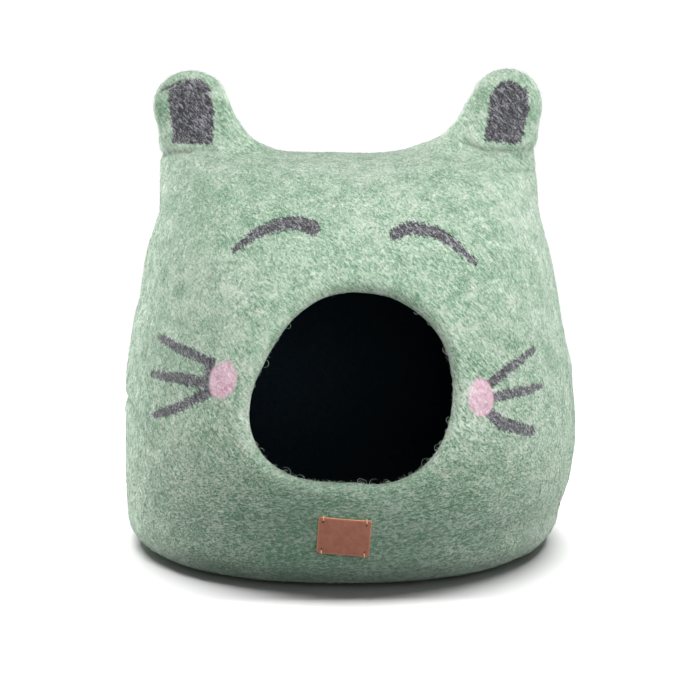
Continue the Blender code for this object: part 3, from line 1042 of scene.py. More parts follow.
@dataclass(frozen=True)
class FeltFinish:
    """Mottled hand-felted wool, with the face's colours felted in, and painted light: near-black
    shade in the hollow, shade low on the front, in folds, under the patch and on the upper lip, and
    a highlight on the lower lip.
    """

    face: Face
    level: Lean = Lean((0, 6, 0), (0.36, 0.6, 1.0))
    tipped: Lean = Lean((0, -14, 0), (0.24, 0.6, 1.0))
    upright: Lean = Lean((0, -8, 12), (1.0, 0.8, 0.20))
    rising: Lean = Lean((0, 42, 8), (1.0, 0.6, 0.26))
    falling: Lean = Lean((0, -50, -14), (1.0, 0.6, 0.26))
    banded: Lean = Lean((0, 3, 0), (0.22, 1.0, 1.0))
    blotches: Waves = Waves(13.0, 3.0)
    blotch_strength: float = 0.44
    tufts: Waves = Waves(60.0, 3.0)
    tuft_strength: float = 0.7
    streaks: Waves = Waves(620.0, 1.0, 0.8)
    streak_strength: float = 2.5
    lines: Waves = Waves(300.0, 2.0, 1.5)
    line_sharpness: float = 22.0
    pale_strength: float = 0.30
    dark_strength: float = 0.26
    grains: Waves = Waves(820.0)
    grain_strength: float = 1.5
    mean_light: float = 0.52
    green_stops: tuple[float, ...] = (0.0, 0.36, 0.64, 1.0)
    grey_stops: tuple[float, ...] = (0.0, 0.5, 1.0)
    grey_contrast: float = 1.2
    grey_tufts: float = 0.5
    grey_light: float = 0.46
    pink_stops: tuple[float, ...] = (0.1, 0.5, 0.9)
    edge_softness: float = 0.0012
    edge_wander: float = 0.0032
    edge_tufts: float = 1.3
    edge_streaks: float = 1.5
    relief: float = 0.0011
    relief_streaks: float = 0.55
    relief_grains: float = 0.3
    relief_lines: float = 0.25
    relief_tufts: float = 0.5
    roughness: float = 0.92
    sheen: float = 0.45
    sheen_roughness: float = 0.6
    sheen_tint: Triple = (0.90, 0.97, 0.90)
    shine: float = 0.15
    calm: float = 0.52
    calm_from: float = 0.10
    calm_span: float = 0.14
    # Painted shade low on the front, deepest at its middle: where it lies, and how far it dims,
    # darkens and greens the wool.
    low_shade_from: float = 0.150
    low_shade_span: float = 0.085
    low_shade_reach: float = 0.200
    low_shade_middle_span: float = 0.14
    low_shade_behind: float = 0.02
    low_shade_fade: float = 8.0
    low_shade_dimming: float = 0.15
    low_shade_darkening: float = 0.50
    low_shade_green: float = 0.34
    side_start: float = 1.0
    side_gain: float = 9.0
    level_start: float = 1.9
    level_gain: float = 12.0
    level_lost_aside: float = 0.7
    # Painted highlight on the lower lip, which faces up: how much paler it makes the wool, and how
    # much it calms the fibres.
    painted_lip_highlight: float = 0.07
    lip_highlight_calm: float = 0.25
    # Painted shade in folds, under the patch and on the upper lip, scattered by the grain.
    fold_shade: float = 0.5
    fold_grain: float = 0.3
    hollow_shade_wander: float = 0.9
    hollow_shade_sharpness: float = 5.0

    def boldness(self, z: Number) -> Number:
        """How far fibres stand out from each other: fully low down, and less up on the head."""
        return 1 - ramped(z, self.calm_from, 1 / self.calm_span) * self.calm

    def painted_low_shade(self, x: Number, y: Number, z: Number) -> Number:
        """How far painted shade darkens and greens the front low down, most of all at its middle.

        Args:
            x: Places across.
            y: Places towards the back.
            z: Heights.

        Returns:
            1 where the painted shade is deepest and 0 where there is none.
        """
        low = ramped(z, self.low_shade_from, -1 / self.low_shade_span)
        middle = ramped(abs(x), self.low_shade_reach, -1 / self.low_shade_middle_span)
        return low * middle * ramped(y, self.low_shade_behind, -self.low_shade_fade)

    def sideness(self, x: Number) -> Number:
        """1 at the cave's sides and 0 at its middle."""
        return between_zero_and_one(abs(x) * self.side_gain - self.side_start)

    def levelness(self, x: Number, z: Number) -> Number:
        """1 where the fibres lie level, low on the front, and 0 from the mouth up."""
        low = between_zero_and_one(self.level_start - z * self.level_gain)
        return low * (1 - self.sideness(x) * self.level_lost_aside)

    def fibres(self, nodes: Nodes, place: tuple) -> tuple[Value, Value, Value]:
        """Short fibres: soft streaks, and thin pale and dark lines across them.

        They lie level low on the front, upright on the sides, and every way elsewhere.

        Args:
            nodes: The material's nodes.
            place: The object coordinates, as a vector and as x, y and z.

        Returns:
            The streaks, the pale lines and the dark lines, each from 0 to 1.
        """
        vector, x, _, z = place
        low = self.levelness(x, z)
        side = self.sideness(x)
        level, tipped, upright, rising, falling = (
            lean.of(nodes, vector)
            for lean in (self.level, self.tipped, self.upright, self.rising, self.falling)
        )
        streaks = [nodes.noise(way, self.streaks) for way in (level, upright, rising)]
        upper = (streaks[1] * side + streaks[2] * (2 - side)) * 0.5
        streak = streaks[0] * low + upper * (1 - low)
        lines = []
        for above, below in ((rising, tipped), (falling, level)):
            pattern = nodes.noise(above, self.lines) * (1 - low)
            pattern = pattern + nodes.noise(below, self.lines) * low
            lines.append(between_zero_and_one(1 - abs(pattern - 0.5) * self.line_sharpness))
        return streak, lines[0], lines[1]

    def wool(
        self, nodes: Nodes, light: Value, tones: tuple[Wool, ...], stops: tuple[float, ...]
    ) -> bpy.types.NodeSocket:
        """The colour of one wool from its dark to its pale fibres.

        Args:
            nodes: The material's nodes.
            light: 0 for the darkest fibres and 1 for the palest.
            tones: Its tones from dark to pale.
            stops: The light that each tone belongs to.

        Returns:
            The colour's socket.
        """
        ramp = {"stops": tuple((stop, tone.value) for stop, tone in zip(stops, tones))}
        return nodes.add("ShaderNodeValToRGB", ramp, {"Fac": light}).outputs[0]

    def material(self) -> bpy.types.Material:
        """The felt's material.

        Returns:
            The material.
        """
        nodes = Nodes(bpy.data.materials.new("wool_felt_mottled"))
        place = nodes.place()
        vector, x, y, z = place
        blotch = nodes.noise(vector, self.blotches)
        low = self.levelness(x, z)
        tuft = nodes.noise(vector, self.tufts) * (1 - low)
        tuft = tuft + nodes.noise(self.banded.of(nodes, vector), self.tufts) * low
        grain = nodes.noise(vector, self.grains)
        streak, pale, dark = self.fibres(nodes, place)
        fine = (streak - 0.5) * self.streak_strength + (grain - 0.5) * self.grain_strength
        fine = fine + pale * self.pale_strength - dark * self.dark_strength
        # deep: painted shade low on the front.
        deep = self.painted_low_shade(x, y, z)
        # rim: painted highlight on the lower lip.
        rim = nodes.mark("rim")
        mottle = fine * self.boldness(z) * (1 - rim * self.lip_highlight_calm)
        mottle = mottle + (blotch - 0.5) * self.blotch_strength
        mottle = mottle + (tuft - 0.5) * self.tuft_strength
        mean = self.mean_light - deep * self.low_shade_dimming
        light = between_zero_and_one(mottle + mean + rim * self.painted_lip_highlight)
        greens = (Wool.DEEP, Wool.GREEN, Wool.PALE, Wool.CREAM)
        green = self.wool(nodes, light, greens, self.green_stops)
        bold = fine * self.grey_contrast + (tuft - 0.5) * self.grey_tufts + self.grey_light
        greys = (Wool.GREY_DEEP, Wool.GREY, Wool.GREY_PALE)
        grey = self.wool(nodes, between_zero_and_one(bold), greys, self.grey_stops)
        pinks = (Wool.PINK_DEEP, Wool.PINK, Wool.PINK_PALE)
        pink = self.wool(nodes, light, pinks, self.pink_stops)
        wander = (tuft - 0.5) * self.edge_tufts + (streak - 0.5) * self.edge_streaks
        wander = (wander + (grain - 0.5)) * self.edge_wander
        front = self.face.on_front(y)
        # The painted low shade darkens the colour and pulls it towards the deep green.
        shaded = nodes.tinted(green, 1 - deep * self.low_shade_darkening)
        colour = nodes.blend(deep * self.low_shade_green, shaded, Wool.DEEP.value)
        for marks, wool in ((self.face.grey, grey), (self.face.pink, pink)):
            away = self.face.nearest(marks, x, z) + wander
            mask = between_zero_and_one(0.5 - away * (0.5 / self.edge_softness)) * front
            colour = nodes.blend(mask, colour, wool)
        # fold: painted shade in folds, under the patch and on the upper lip.
        fold = nodes.mark("fold")
        colour = nodes.tinted(colour, 1 - fold * (self.fold_shade + grain * self.fold_grain))
        # Near-black painted shade in the hollow, blended in with a wandering edge over the lip.
        edge = nodes.mark("inside") - 0.5 + (streak - 0.5) * self.hollow_shade_wander
        hidden = between_zero_and_one(edge * self.hollow_shade_sharpness + 0.5)
        hollow_shade = nodes.blend(light, Wool.SHADE.value, Wool.SHADE_PALE.value)
        height = streak * self.relief_streaks + grain * self.relief_grains
        height = height + (pale - dark) * self.relief_lines + tuft * self.relief_tufts
        return nodes.principled({
            "Base Color": nodes.blend(hidden, colour, hollow_shade),
            "Roughness": self.roughness,
            "Sheen Weight": self.sheen,
            "Sheen Roughness": self.sheen_roughness,
            "Sheen Tint": self.sheen_tint,
            "Specular IOR Level": self.shine,
            "Normal": nodes.bump(height, self.relief),
        })


@dataclass(frozen=True)
class HollowShadeFinish:
    """Near-black painted shade inside the cave's hollow."""

    lean: Lean = Lean((0, 30, 0), (1.0, 1.0, 0.3))
    fibres: Waves = Waves(500.0, 3.0, 0.8)
    relief: float = 0.0009
    roughness: float = 0.95
    shine: float = 0.05

    def material(self) -> bpy.types.Material:
        """The painted shade's material.

        Returns:
            The material.
        """
        nodes = Nodes(bpy.data.materials.new("hollow_painted_shade"))
        vector, *_ = nodes.place()
        fibre = nodes.noise(self.lean.of(nodes, vector), self.fibres)
        return nodes.principled({
            "Base Color": nodes.blend(fibre, Wool.SHADE.value, Wool.SHADE_PALE.value),
            "Roughness": self.roughness,
            "Specular IOR Level": self.shine,
            "Normal": nodes.bump(fibre, self.relief),
        })


@dataclass(frozen=True)
class LooseWoolFinish:
    """Loose wool fibres, each in the colour of its own wool."""

    roughness: float = 0.85
    sheen: float = 0.3
    shine: float = 0.2
    mottles: Waves = Waves(420.0)
    mottle_strength: float = 0.5
    darkest: float = 0.75

    def material(self) -> bpy.types.Material:
        """The fibres' material.

        Returns:
            The material.
        """
        nodes = Nodes(bpy.data.materials.new("wool_fibres"))
        vector, *_ = nodes.place()
        light = nodes.noise(vector, self.mottles) * self.mottle_strength + self.darkest
        return nodes.principled({
            "Base Color": nodes.tinted(nodes.attribute("wool_colour", "Color"), light),
            "Roughness": self.roughness,
            "Sheen Weight": self.sheen,
            "Specular IOR Level": self.shine,
        })


@dataclass(frozen=True)
class LeatherFinish:
    """Brown leather with a fine grain, a burnished edge line and a paler cut edge."""

    face_brown: Triple = (0.385, 0.155, 0.100)
    dark_brown: Triple = (0.255, 0.092, 0.059)
    worn_brown: Triple = (0.500, 0.225, 0.143)
    cut_edge: Triple = (0.92, 0.42, 0.20)
    grain_waves: float = 1500.0
    crease_sharpness: float = 5.0
    crease_dark: float = 0.45
    mottles: Waves = Waves(160.0, 4.0, 0.6)
    mottle_start: float = 0.35
    mottle_gain: float = 2.2
    specks: Waves = Waves(1400.0, 3.0)
    speck_start: float = 0.52
    speck_gain: float = 3.0
    worn_gain: float = 1.4
    cut_start: float = 0.4
    cut_gain: float = 2.0
    relief: float = 0.00012
    relief_creases: float = 0.7
    relief_mottles: float = 0.5
    relief_specks: float = 0.2
    roughness: float = 0.52
    roughness_wander: float = 0.25
    shine: float = 0.4

    def material(self) -> bpy.types.Material:
        """The leather's material.

        Returns:
            The material.
        """
        nodes = Nodes(bpy.data.materials.new("brown_leather_grained"))
        vector, *_ = nodes.place()
        cells = nodes.add(
            "ShaderNodeTexVoronoi",
            {"feature": "DISTANCE_TO_EDGE"},
            {"Vector": vector, "Scale": self.grain_waves},
        )
        distance = Value(nodes, cells.outputs["Distance"])
        crease = between_zero_and_one(distance * self.crease_sharpness)
        mottle = nodes.noise(vector, self.mottles)
        speck = nodes.noise(vector, self.specks)
        worn = nodes.mark("worn_edge") * between_zero_and_one(speck * self.worn_gain)
        layers = (
            (ramped(mottle, self.mottle_start, self.mottle_gain), self.face_brown),
            (ramped(speck, self.speck_start, self.speck_gain), self.worn_brown),
            ((1 - crease) * self.crease_dark, self.dark_brown),
            (worn, self.worn_brown),
        )
        face = self.dark_brown
        for share, brown in layers:
            face = nodes.blend(share, face, brown)
        darker = ramped(mottle, self.cut_start, self.cut_gain)
        cut = nodes.blend(darker, self.cut_edge, self.worn_brown)
        height = crease * self.relief_creases + mottle * self.relief_mottles
        return nodes.principled({
            "Base Color": nodes.blend(nodes.mark("cut_edge"), face, cut),
            "Roughness": (speck - 0.5) * self.roughness_wander + self.roughness,
            "Specular IOR Level": self.shine,
            "Normal": nodes.bump(height + speck * self.relief_specks, self.relief),
        })


@dataclass(frozen=True)
class ThreadFinish:
    """Pale orange waxed thread."""

    lit: Triple = (0.95, 0.62, 0.32)
    deep: Triple = (0.72, 0.36, 0.15)
    lean: Lean = Lean((0, 30, 0), (1.0, 1.0, 0.25))
    fibres: Waves = Waves(2600.0)
    contrast: float = 1.6
    darkness: float = 0.3
    relief: float = 0.00006
    roughness: float = 0.5

    def material(self) -> bpy.types.Material:
        """The thread's material.

        Returns:
            The material.
        """
        nodes = Nodes(bpy.data.materials.new("waxed_thread"))
        vector, *_ = nodes.place()
        fibre = nodes.noise(self.lean.of(nodes, vector), self.fibres)
        share = between_zero_and_one(fibre * self.contrast - self.darkness)
        return nodes.principled({
            "Base Color": nodes.blend(share, self.deep, self.lit),
            "Roughness": self.roughness,
            "Normal": nodes.bump(fibre, self.relief),
        })


# ------------------------------------ pieces
def add_piece(
    name: str, mesh: bpy.types.Mesh, material: bpy.types.Material
) -> bpy.types.Object:
    """Put a finished mesh in the scene as a piece of the cave.

    Args:
        name: The piece's name.
        mesh: Its mesh, in place.
        material: Its finish.

    Returns:
        The piece's object.
    """
    mesh.materials.clear()
    mesh.materials.append(material)
    mesh.shade_smooth()
    piece = bpy.data.objects.new(name, mesh)
    bpy.context.scene.collection.objects.link(piece)
    Lit.CAVE.collection().objects.link(piece)
    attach(piece, BODY)
    logging.info("%s: %d faces", name, len(mesh.polygons))
    return piece


@dataclass(frozen=True)
class Fold:
    """A soft trough pressed into the felt's front along a line of places (x, z), with painted shade
    along it.
    """

    places: tuple[tuple[float, float], ...]
    depth: float
    half_width: float
    # How dark its painted shade is.
    dark: float
    shoulder: float = 0.30
    shoulder_away: float = 2.1
    shade_narrowness: float = 1.5

    def away(self, x: np.ndarray, z: np.ndarray) -> np.ndarray:
        """How many half widths (x, z) lies from the fold's line."""
        line = Stroke(tuple((*place, 0.0) for place in self.places))
        return np.maximum(line.outside(x, z), 0.0) / self.half_width

    def relief(self, x: np.ndarray, z: np.ndarray) -> np.ndarray:
        """How far the surface is moved out at (x, z)."""
        away = self.away(x, z)
        raised = self.shoulder * np.exp(-((away - self.shoulder_away) ** 2))
        return self.depth * (raised - np.exp(-(away**2)))

    def shade(self, x: np.ndarray, z: np.ndarray) -> np.ndarray:
        """How much painted shade falls at (x, z), from 0 to 1, most on the fold's line."""
        return self.dark * np.exp(-((self.away(x, z) * self.shade_narrowness) ** 2))


@dataclass(frozen=True)
class Mound:
    """A soft place where the felt stands proud, seen from the front at (x, z)."""

    x: float
    z: float
    reach: float
    height: float

    def relief(self, x: np.ndarray, z: np.ndarray) -> np.ndarray:
        """How far the surface is moved out at (x, z)."""
        return self.height * np.exp(-((x - self.x) ** 2 + (z - self.z) ** 2) / self.reach**2)


@dataclass
class FeltShell:
    """The whole felt form: outer skin with ears, hollow inside, and the rounded lip between."""

    form: FeltForm
    mouth: Mouth
    finish: FeltFinish
    # The near-black painted shade on the hollow's faces.
    hollow_shade: HollowShadeFinish = HollowShadeFinish()
    lines: int = 312
    front_rings: int = 104
    back_rings: int = 84
    hollow_rings: int = 24
    rim_rings: int = 7
    lip_bulge: float = 0.45
    lip_roll_reach: float = 0.016
    lip_roll_depth: float = 0.0042
    ear_root_softened: float = 0.066
    ear_root_passes: int = 40
    folds: tuple[Fold, ...] = (
        # places, depth, half width, how dark its painted shade is
        Fold(((-0.190, 0.3840), (-0.1717, 0.3893), (-0.1560, 0.3915)), 0.0026, 0.0032, 0.9),
        Fold(((-0.1560, 0.3915), (-0.1330, 0.3925)), 0.0012, 0.0036, 0.45),
        Fold(((-0.1850, 0.4475), (-0.1727, 0.4540), (-0.1590, 0.4590)), 0.0014, 0.0020, 1.0),
        Fold(
            ((0.1130, 0.3990), (0.1292, 0.3927), (0.1536, 0.3926), (0.1800, 0.3905)),
            0.0026, 0.0032, 0.8,
        ),
        Fold(((0.1580, 0.3860), (0.1800, 0.3815)), 0.0013, 0.0026, 0.5),
        Fold(((0.1480, 0.3762), (0.1800, 0.3700)), 0.0011, 0.0028, 0.4),
        Fold(
            ((-0.2300, 0.1480), (-0.2080, 0.1430), (-0.1970, 0.1269), (-0.1848, 0.1149)),
            0.0030, 0.0050, 0.25,
        ),
    )
    mounds: tuple[Mound, ...] = (
        Mound(-0.1270, 0.4500, 0.019, 0.0021),
        Mound(-0.1780, 0.3990, 0.011, 0.0030),
        Mound(0.0740, 0.3920, 0.024, 0.0048),
        Mound(0.1770, 0.4060, 0.014, 0.0030),
    )
    swells: tuple[tuple[float, float], ...] = (
        # height, waves a metre
        (0.0009, 24.0),
        (0.0005, 60.0),
        (0.00020, 150.0),
    )
    flat_to: float = 0.001
    flat_fade: float = 0.004
    front_fade: float = 0.012
    hollow_shade_on_lip: tuple[float, float] = (0.90, 0.20)
    # Painted shade on the upper lip, which faces down, and painted highlight on the lower lip,
    # which faces up.
    shaded_way: tuple[float, float] = (0.6, 0.8)
    lip_shade: float = 0.6
    lip_shade_from: float = 0.35
    lip_highlight_to: float = 0.5
    patch_clearance: float = 0.004
    patch_shade_inset: float = 0.0015
    painted_lip_reach: float = 0.0075
    piece: bpy.types.Object | None = field(default=None, init=False)

    def lip_roll(self, outer: np.ndarray) -> np.ndarray:
        """How far the outer skin is drawn in towards the lip, which rolls inwards.

        Args:
            outer: The outer skin's rings.

        Returns:
            The distance at each point.
        """
        steps = np.linalg.norm(np.diff(outer, axis=0), axis=2)
        away = np.concatenate([np.zeros((1, outer.shape[1])), np.cumsum(steps, axis=0)])
        near = np.clip(1 - away / self.lip_roll_reach, 0.0, 1.0)
        return self.lip_roll_depth * (1 - np.sqrt(1 - near**2))

    def rim_rings_of(self, outer: np.ndarray, inner: np.ndarray) -> np.ndarray:
        """Rings of the rounded lip, from the hollow's side to the outside.

        Args:
            outer: The outer skin's rings.
            inner: The inner lip's points.

        Returns:
            The lip's rings, with neither end.
        """
        into = unit(outer[0] - outer[1])
        centre = (outer[0] + inner) / 2
        out = (outer[0] - inner) / 2
        rings = []
        for turn in np.linspace(math.pi, 0.0, self.rim_rings + 2)[1:-1]:
            bulge = self.lip_bulge * self.form.wall * math.sin(turn)
            rings.append(centre + out * math.cos(turn) + into * bulge)
        return np.array(rings)

    def skin_from_sphere(
        self, bm: bmesh.types.BMesh, rings: np.ndarray, pole: np.ndarray, inside: np.ndarray
    ) -> list[bmesh.types.BMEdge]:
        """Shape a sphere into one skin.

        Args:
            bm: The mesh that gets the skin.
            rings: The skin's points, ring by ring from its open end.
            pole: The point where its lines end.
            inside: For each ring, 0 outside the cave and 1 in its hollow.

        Returns:
            The edges of the open end.
        """
        count = len(rings)
        layer = bm.verts.layers.float["inside"]
        made = bmesh.ops.create_uvsphere(
            bm, u_segments=self.lines, v_segments=count + 1, radius=1.0
        )
        first_ring = set()
        for vert in made["verts"]:
            from_front = math.acos(max(-1.0, min(1.0, -vert.co.z)))
            ring = round(from_front / math.pi * (count + 1)) - 1
            turns = -math.atan2(vert.co.y, vert.co.x) / (2 * math.pi)
            line = round(turns * self.lines) % self.lines
            if ring < 0:
                front_pole = vert
                continue
            if ring == 0:
                first_ring.add(vert)
            vert[layer] = inside[min(ring, count - 1)]
            vert.co = pole if ring == count else rings[ring][line]
        bmesh.ops.delete(bm, geom=[front_pole], context="VERTS")
        return [edge for edge in bm.edges if edge.is_boundary and edge.verts[0] in first_ring]

    def relief(self, points: np.ndarray) -> np.ndarray:
        """How far the felt swells out or is drawn in.

        Args:
            points: Points of its outer skin.

        Returns:
            The distance at each point.
        """
        x, y, z = points.T
        total = np.zeros(len(points))
        for height, waves in self.swells:
            total += height * np.array([noise.noise(Vector(point) * waves) for point in points])
        front = self.on_front(y)
        for fold in self.folds:
            total += fold.relief(x, z) * front
        for mound in self.mounds:
            total += mound.relief(x, z)
        return total * np.clip((z - self.flat_to) / self.flat_fade, 0.0, 1.0)

    def on_front(self, y: np.ndarray) -> np.ndarray:
        """1 on the front, fading to 0 just behind the ears' middle."""
        return np.clip(1 - y / self.front_fade, 0.0, 1.0)

    def build(self, patch: "LeatherPatch") -> bpy.types.Object:
        """Build the shell as one closed mesh.

        Args:
            patch: The leather patch, under which the felt lies smooth.

        Returns:
            The shell's object.
        """
        skin = SkinLines(self.form, self.mouth, self.lines)
        outer = skin.rings(Skin.OUTER, self.front_rings, self.back_rings)
        outer_pole = skin.pole(Skin.OUTER)
        hollow = skin.rings(Skin.HOLLOW, self.hollow_rings, self.hollow_rings)
        hollow_pole = skin.pole(Skin.HOLLOW)
        normals = ring_normals(outer, outer_pole)
        inner = hollow - self.form.wall * ring_normals(hollow, hollow_pole)
        inner[0] = outer[0] - self.form.wall * normals[0]
        outer = outer - self.lip_roll(outer)[:, :, None] * normals
        rim = self.rim_rings_of(outer, inner[0])
        outside = np.concatenate([rim, outer])
        inside = np.zeros(len(outside))
        # The hollow's painted shade reaches partly over the lip's first two rings.
        inside[:2] = self.hollow_shade_on_lip
        bm = bmesh.new()
        for name in ("inside", "fold", "rim"):
            bm.verts.layers.float.new(name)
        ends = self.skin_from_sphere(bm, outside, outer_pole, inside)
        ends += self.skin_from_sphere(
            bm, inner, hollow_pole - np.array([0.0, self.form.wall, 0.0]), np.ones(len(inner))
        )
        bmesh.ops.bridge_loops(bm, edges=ends)
        self.soften_ear_roots(bm)
        bmesh.ops.recalc_face_normals(bm, faces=bm.faces)
        self.swell(bm, patch)
        mesh = finished(bm, "wool_shell")
        self.piece = add_piece("wool_shell", mesh, self.finish.material())
        # The hollow's faces take the near-black painted shade, without sheen.
        mesh.materials.append(self.hollow_shade.material())
        layer = mesh.attributes["inside"].data
        for face in mesh.polygons:
            if all(layer[corner].value >= 1.0 for corner in face.vertices):
                face.material_index = 1
        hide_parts("felt_shell")
        return self.piece

    def soften_ear_roots(self, bm: bmesh.types.BMesh) -> None:
        """Smooth the skin where the ears rise out of the body.

        Args:
            bm: The shell.
        """
        roots = []
        for vert in bm.verts:
            for lobe in self.form.ears:
                away = math.hypot(vert.co.x - lobe.root_x, vert.co.z - lobe.root_z)
                if away < self.ear_root_softened:
                    roots.append(vert)
        for _ in range(self.ear_root_passes):
            bmesh.ops.smooth_vert(
                bm, verts=roots, factor=0.5, use_axis_x=True, use_axis_y=True, use_axis_z=True
            )

    def swell(self, bm: bmesh.types.BMesh, patch: "LeatherPatch") -> None:
        """Move the outer skin by its relief, but not under the patch, and paint shade into the
        folds, under the patch and on the upper lip, and a highlight on the lower lip.

        Args:
            bm: The shell.
            patch: The leather patch.
        """
        layer = bm.verts.layers.float["inside"]
        bm.normal_update()
        outer = [vert for vert in bm.verts if vert[layer] < 1.0]
        points = np.array([vert.co[:] for vert in outer])
        normals = np.array([vert.normal[:] for vert in outer])
        clear = np.clip(patch.outside(points) / self.patch_clearance, 0.0, 1.0)
        share = np.array([1.0 - vert[layer] for vert in outer])
        moved = points + normals * (self.relief(points) * clear * share)[:, None]
        x, y, z = points.T
        # Painted shade along the folds, on the front only.
        shade = np.max([fold.shade(x, z) for fold in self.folds], axis=0) * self.on_front(y) * share
        # Painted shade on the felt under the patch, seen through its holes.
        shade = np.maximum(shade, patch.outside(points) < -self.patch_shade_inset)
        # Painted shade on the upper lip, and the rim attribute as painted highlight on the lower
        # lip.
        off_lip = np.minimum(self.mouth.within_lip(x, z), 0.0) / self.painted_lip_reach
        rim = np.exp(-(off_lip**2)) * (y < 0)
        way_x, way_z = self.shaded_way
        above = ((z - self.mouth.z) * way_z + (x - self.mouth.x) * way_x) / self.mouth.radius
        dark = np.clip(above - self.lip_shade_from, 0.0, self.lip_shade) * self.lip_shade
        shade = np.maximum(shade, rim**2 * dark)
        rim = rim * np.clip(self.lip_highlight_to - above, 0.0, 1.0)
        fold_layer = bm.verts.layers.float["fold"]
        rim_layer = bm.verts.layers.float["rim"]
        for vert, place, shaded, pale in zip(outer, moved, shade, rim):
            vert.co = (place[0], place[1], max(place[2], 0.0))
            vert[fold_layer] = shaded
            vert[rim_layer] = pale


@dataclass
class LeatherPatch:
    """The leather patch below the mouth: a bent plate with round corners and four thread holes."""

    form: FeltForm
    finish: LeatherFinish
    width: float = 0.0480
    height: float = 0.0345
    thickness: float = 0.0020
    corner_radius: float = 0.0022
    x: float = -0.0055
    level: float = 0.0535
    tilt: float = math.radians(-4.3)
    gap: float = 0.00045
    cell: float = 0.0016
    edge_round: float = 0.00035
    hole_radius: float = 0.00095
    hole_inset: float = 0.0044
    hole_sides: int = 16
    corner_steps: int = 7
    edge_steps: int = 3
    ripple: float = 0.00012
    ripple_waves: float = 90.0
    worn_band: float = 0.0016
    sharp_angle: float = math.radians(48)
    reach: float = 0.030
    halvings: int = 40

    def centre_and_axes(self) -> tuple[np.ndarray, np.ndarray, np.ndarray, np.ndarray]:
        """Where the patch lies on the wall.

        Returns:
            Its centre, and its directions across, up and out.
        """
        centre_x = np.array([self.x])
        centre_z = np.array([self.level])
        out = self.form.wall_normal(centre_x, centre_z)[0]
        level = unit(np.array([-out[1], out[0], 0.0]))
        rising = np.cross(out, level)
        across = level * math.cos(self.tilt) + rising * math.sin(self.tilt)
        up = rising * math.cos(self.tilt) - level * math.sin(self.tilt)
        centre = np.array([self.x, self.form.wall_front(centre_x, centre_z)[0], self.level])
        return centre, across, up, out

    def on_wall(self, flat: np.ndarray) -> np.ndarray:
        """Lay flat points on the wall, each along its normal.

        Args:
            flat: Points with x across, y up and z out.

        Returns:
            The points on the wall.
        """
        centre, across, up, out = self.centre_and_axes()
        plane = centre + flat[:, :1] * across + flat[:, 1:2] * up
        near = np.full(len(flat), -self.reach)
        far = np.full(len(flat), self.reach)
        for _ in range(self.halvings):
            middle = (near + far) / 2
            point = plane + middle[:, None] * out
            buried = point[:, 1] > self.form.wall_front(point[:, 0], point[:, 2])
            near = np.where(buried, middle, near)
            far = np.where(buried, far, middle)
        base = plane + near[:, None] * out
        return base + self.form.wall_normal(base[:, 0], base[:, 2]) * flat[:, 2:3]

    def outside(self, points: np.ndarray) -> np.ndarray:
        """How far the felt lies outside the patch's edge, below 0 under it.

        Args:
            points: Points of the felt.

        Returns:
            The distance at each point.
        """
        centre, across, up, _ = self.centre_and_axes()
        step = points - centre
        right = np.abs(step @ across) - self.width / 2
        high = np.abs(step @ up) - self.height / 2
        behind = points[:, 1] > 0
        return np.where(behind, 1.0, np.maximum(right, high))

    def holes(self) -> list[tuple[float, float]]:
        """The middles of the four thread holes, on the flat patch.

        Returns:
            Their places, anticlockwise from the top left.
        """
        x = self.width / 2 - self.hole_inset
        y = self.height / 2 - self.hole_inset
        return [(-x, y), (x, y), (x, -y), (-x, -y)]

    def plate(self) -> bpy.types.Mesh:
        """The flat plate with round corners and rounded face edges.

        Returns:
            The plate's mesh.
        """
        bm = bmesh.new()
        bmesh.ops.create_cube(bm, size=1.0)
        bmesh.ops.scale(bm, vec=(self.width, self.height, self.thickness), verts=bm.verts)
        bmesh.ops.translate(bm, vec=(0.0, 0.0, self.thickness / 2), verts=bm.verts)
        round_off = {"profile": 0.5, "affect": "EDGES", "material": -1}
        upright = rising_edges(bm, TINY)
        bmesh.ops.bevel(
            bm, geom=upright, offset=self.corner_radius, segments=self.corner_steps, **round_off
        )
        upright = set(rising_edges(bm, TINY))
        flat = [edge for edge in bm.edges if edge not in upright]
        bmesh.ops.bevel(
            bm, geom=flat, offset=self.edge_round, segments=self.edge_steps, **round_off
        )
        return finished(bm, "flat_patch")

    def drilled(self, plate: bpy.types.Mesh) -> bpy.types.Mesh:
        """Cut the thread holes.

        Args:
            plate: The plate without them.

        Returns:
            The plate with them.
        """
        bm = bmesh.new()
        for x, y in self.holes():
            pin = bmesh.ops.create_cone(
                bm,
                cap_ends=True,
                segments=self.hole_sides,
                radius1=self.hole_radius,
                radius2=self.hole_radius,
                depth=self.thickness * 3,
            )
            bmesh.ops.translate(bm, vec=(x, y, self.thickness / 2), verts=pin["verts"])
        cutter = bpy.data.objects.new("stitch_pins", finished(bm, "stitch_pins"))
        body = bpy.data.objects.new("flat_patch", plate)
        for item in (cutter, body):
            bpy.context.scene.collection.objects.link(item)
        cut = body.modifiers.new("holes", "BOOLEAN")
        cut.operation = "DIFFERENCE"
        cut.object = cutter
        bpy.context.view_layer.update()
        evaluated = body.evaluated_get(bpy.context.evaluated_depsgraph_get())
        mesh = bpy.data.meshes.new_from_object(evaluated)
        for item in (cutter, body):
            bpy.data.objects.remove(item, do_unlink=True)
        return mesh

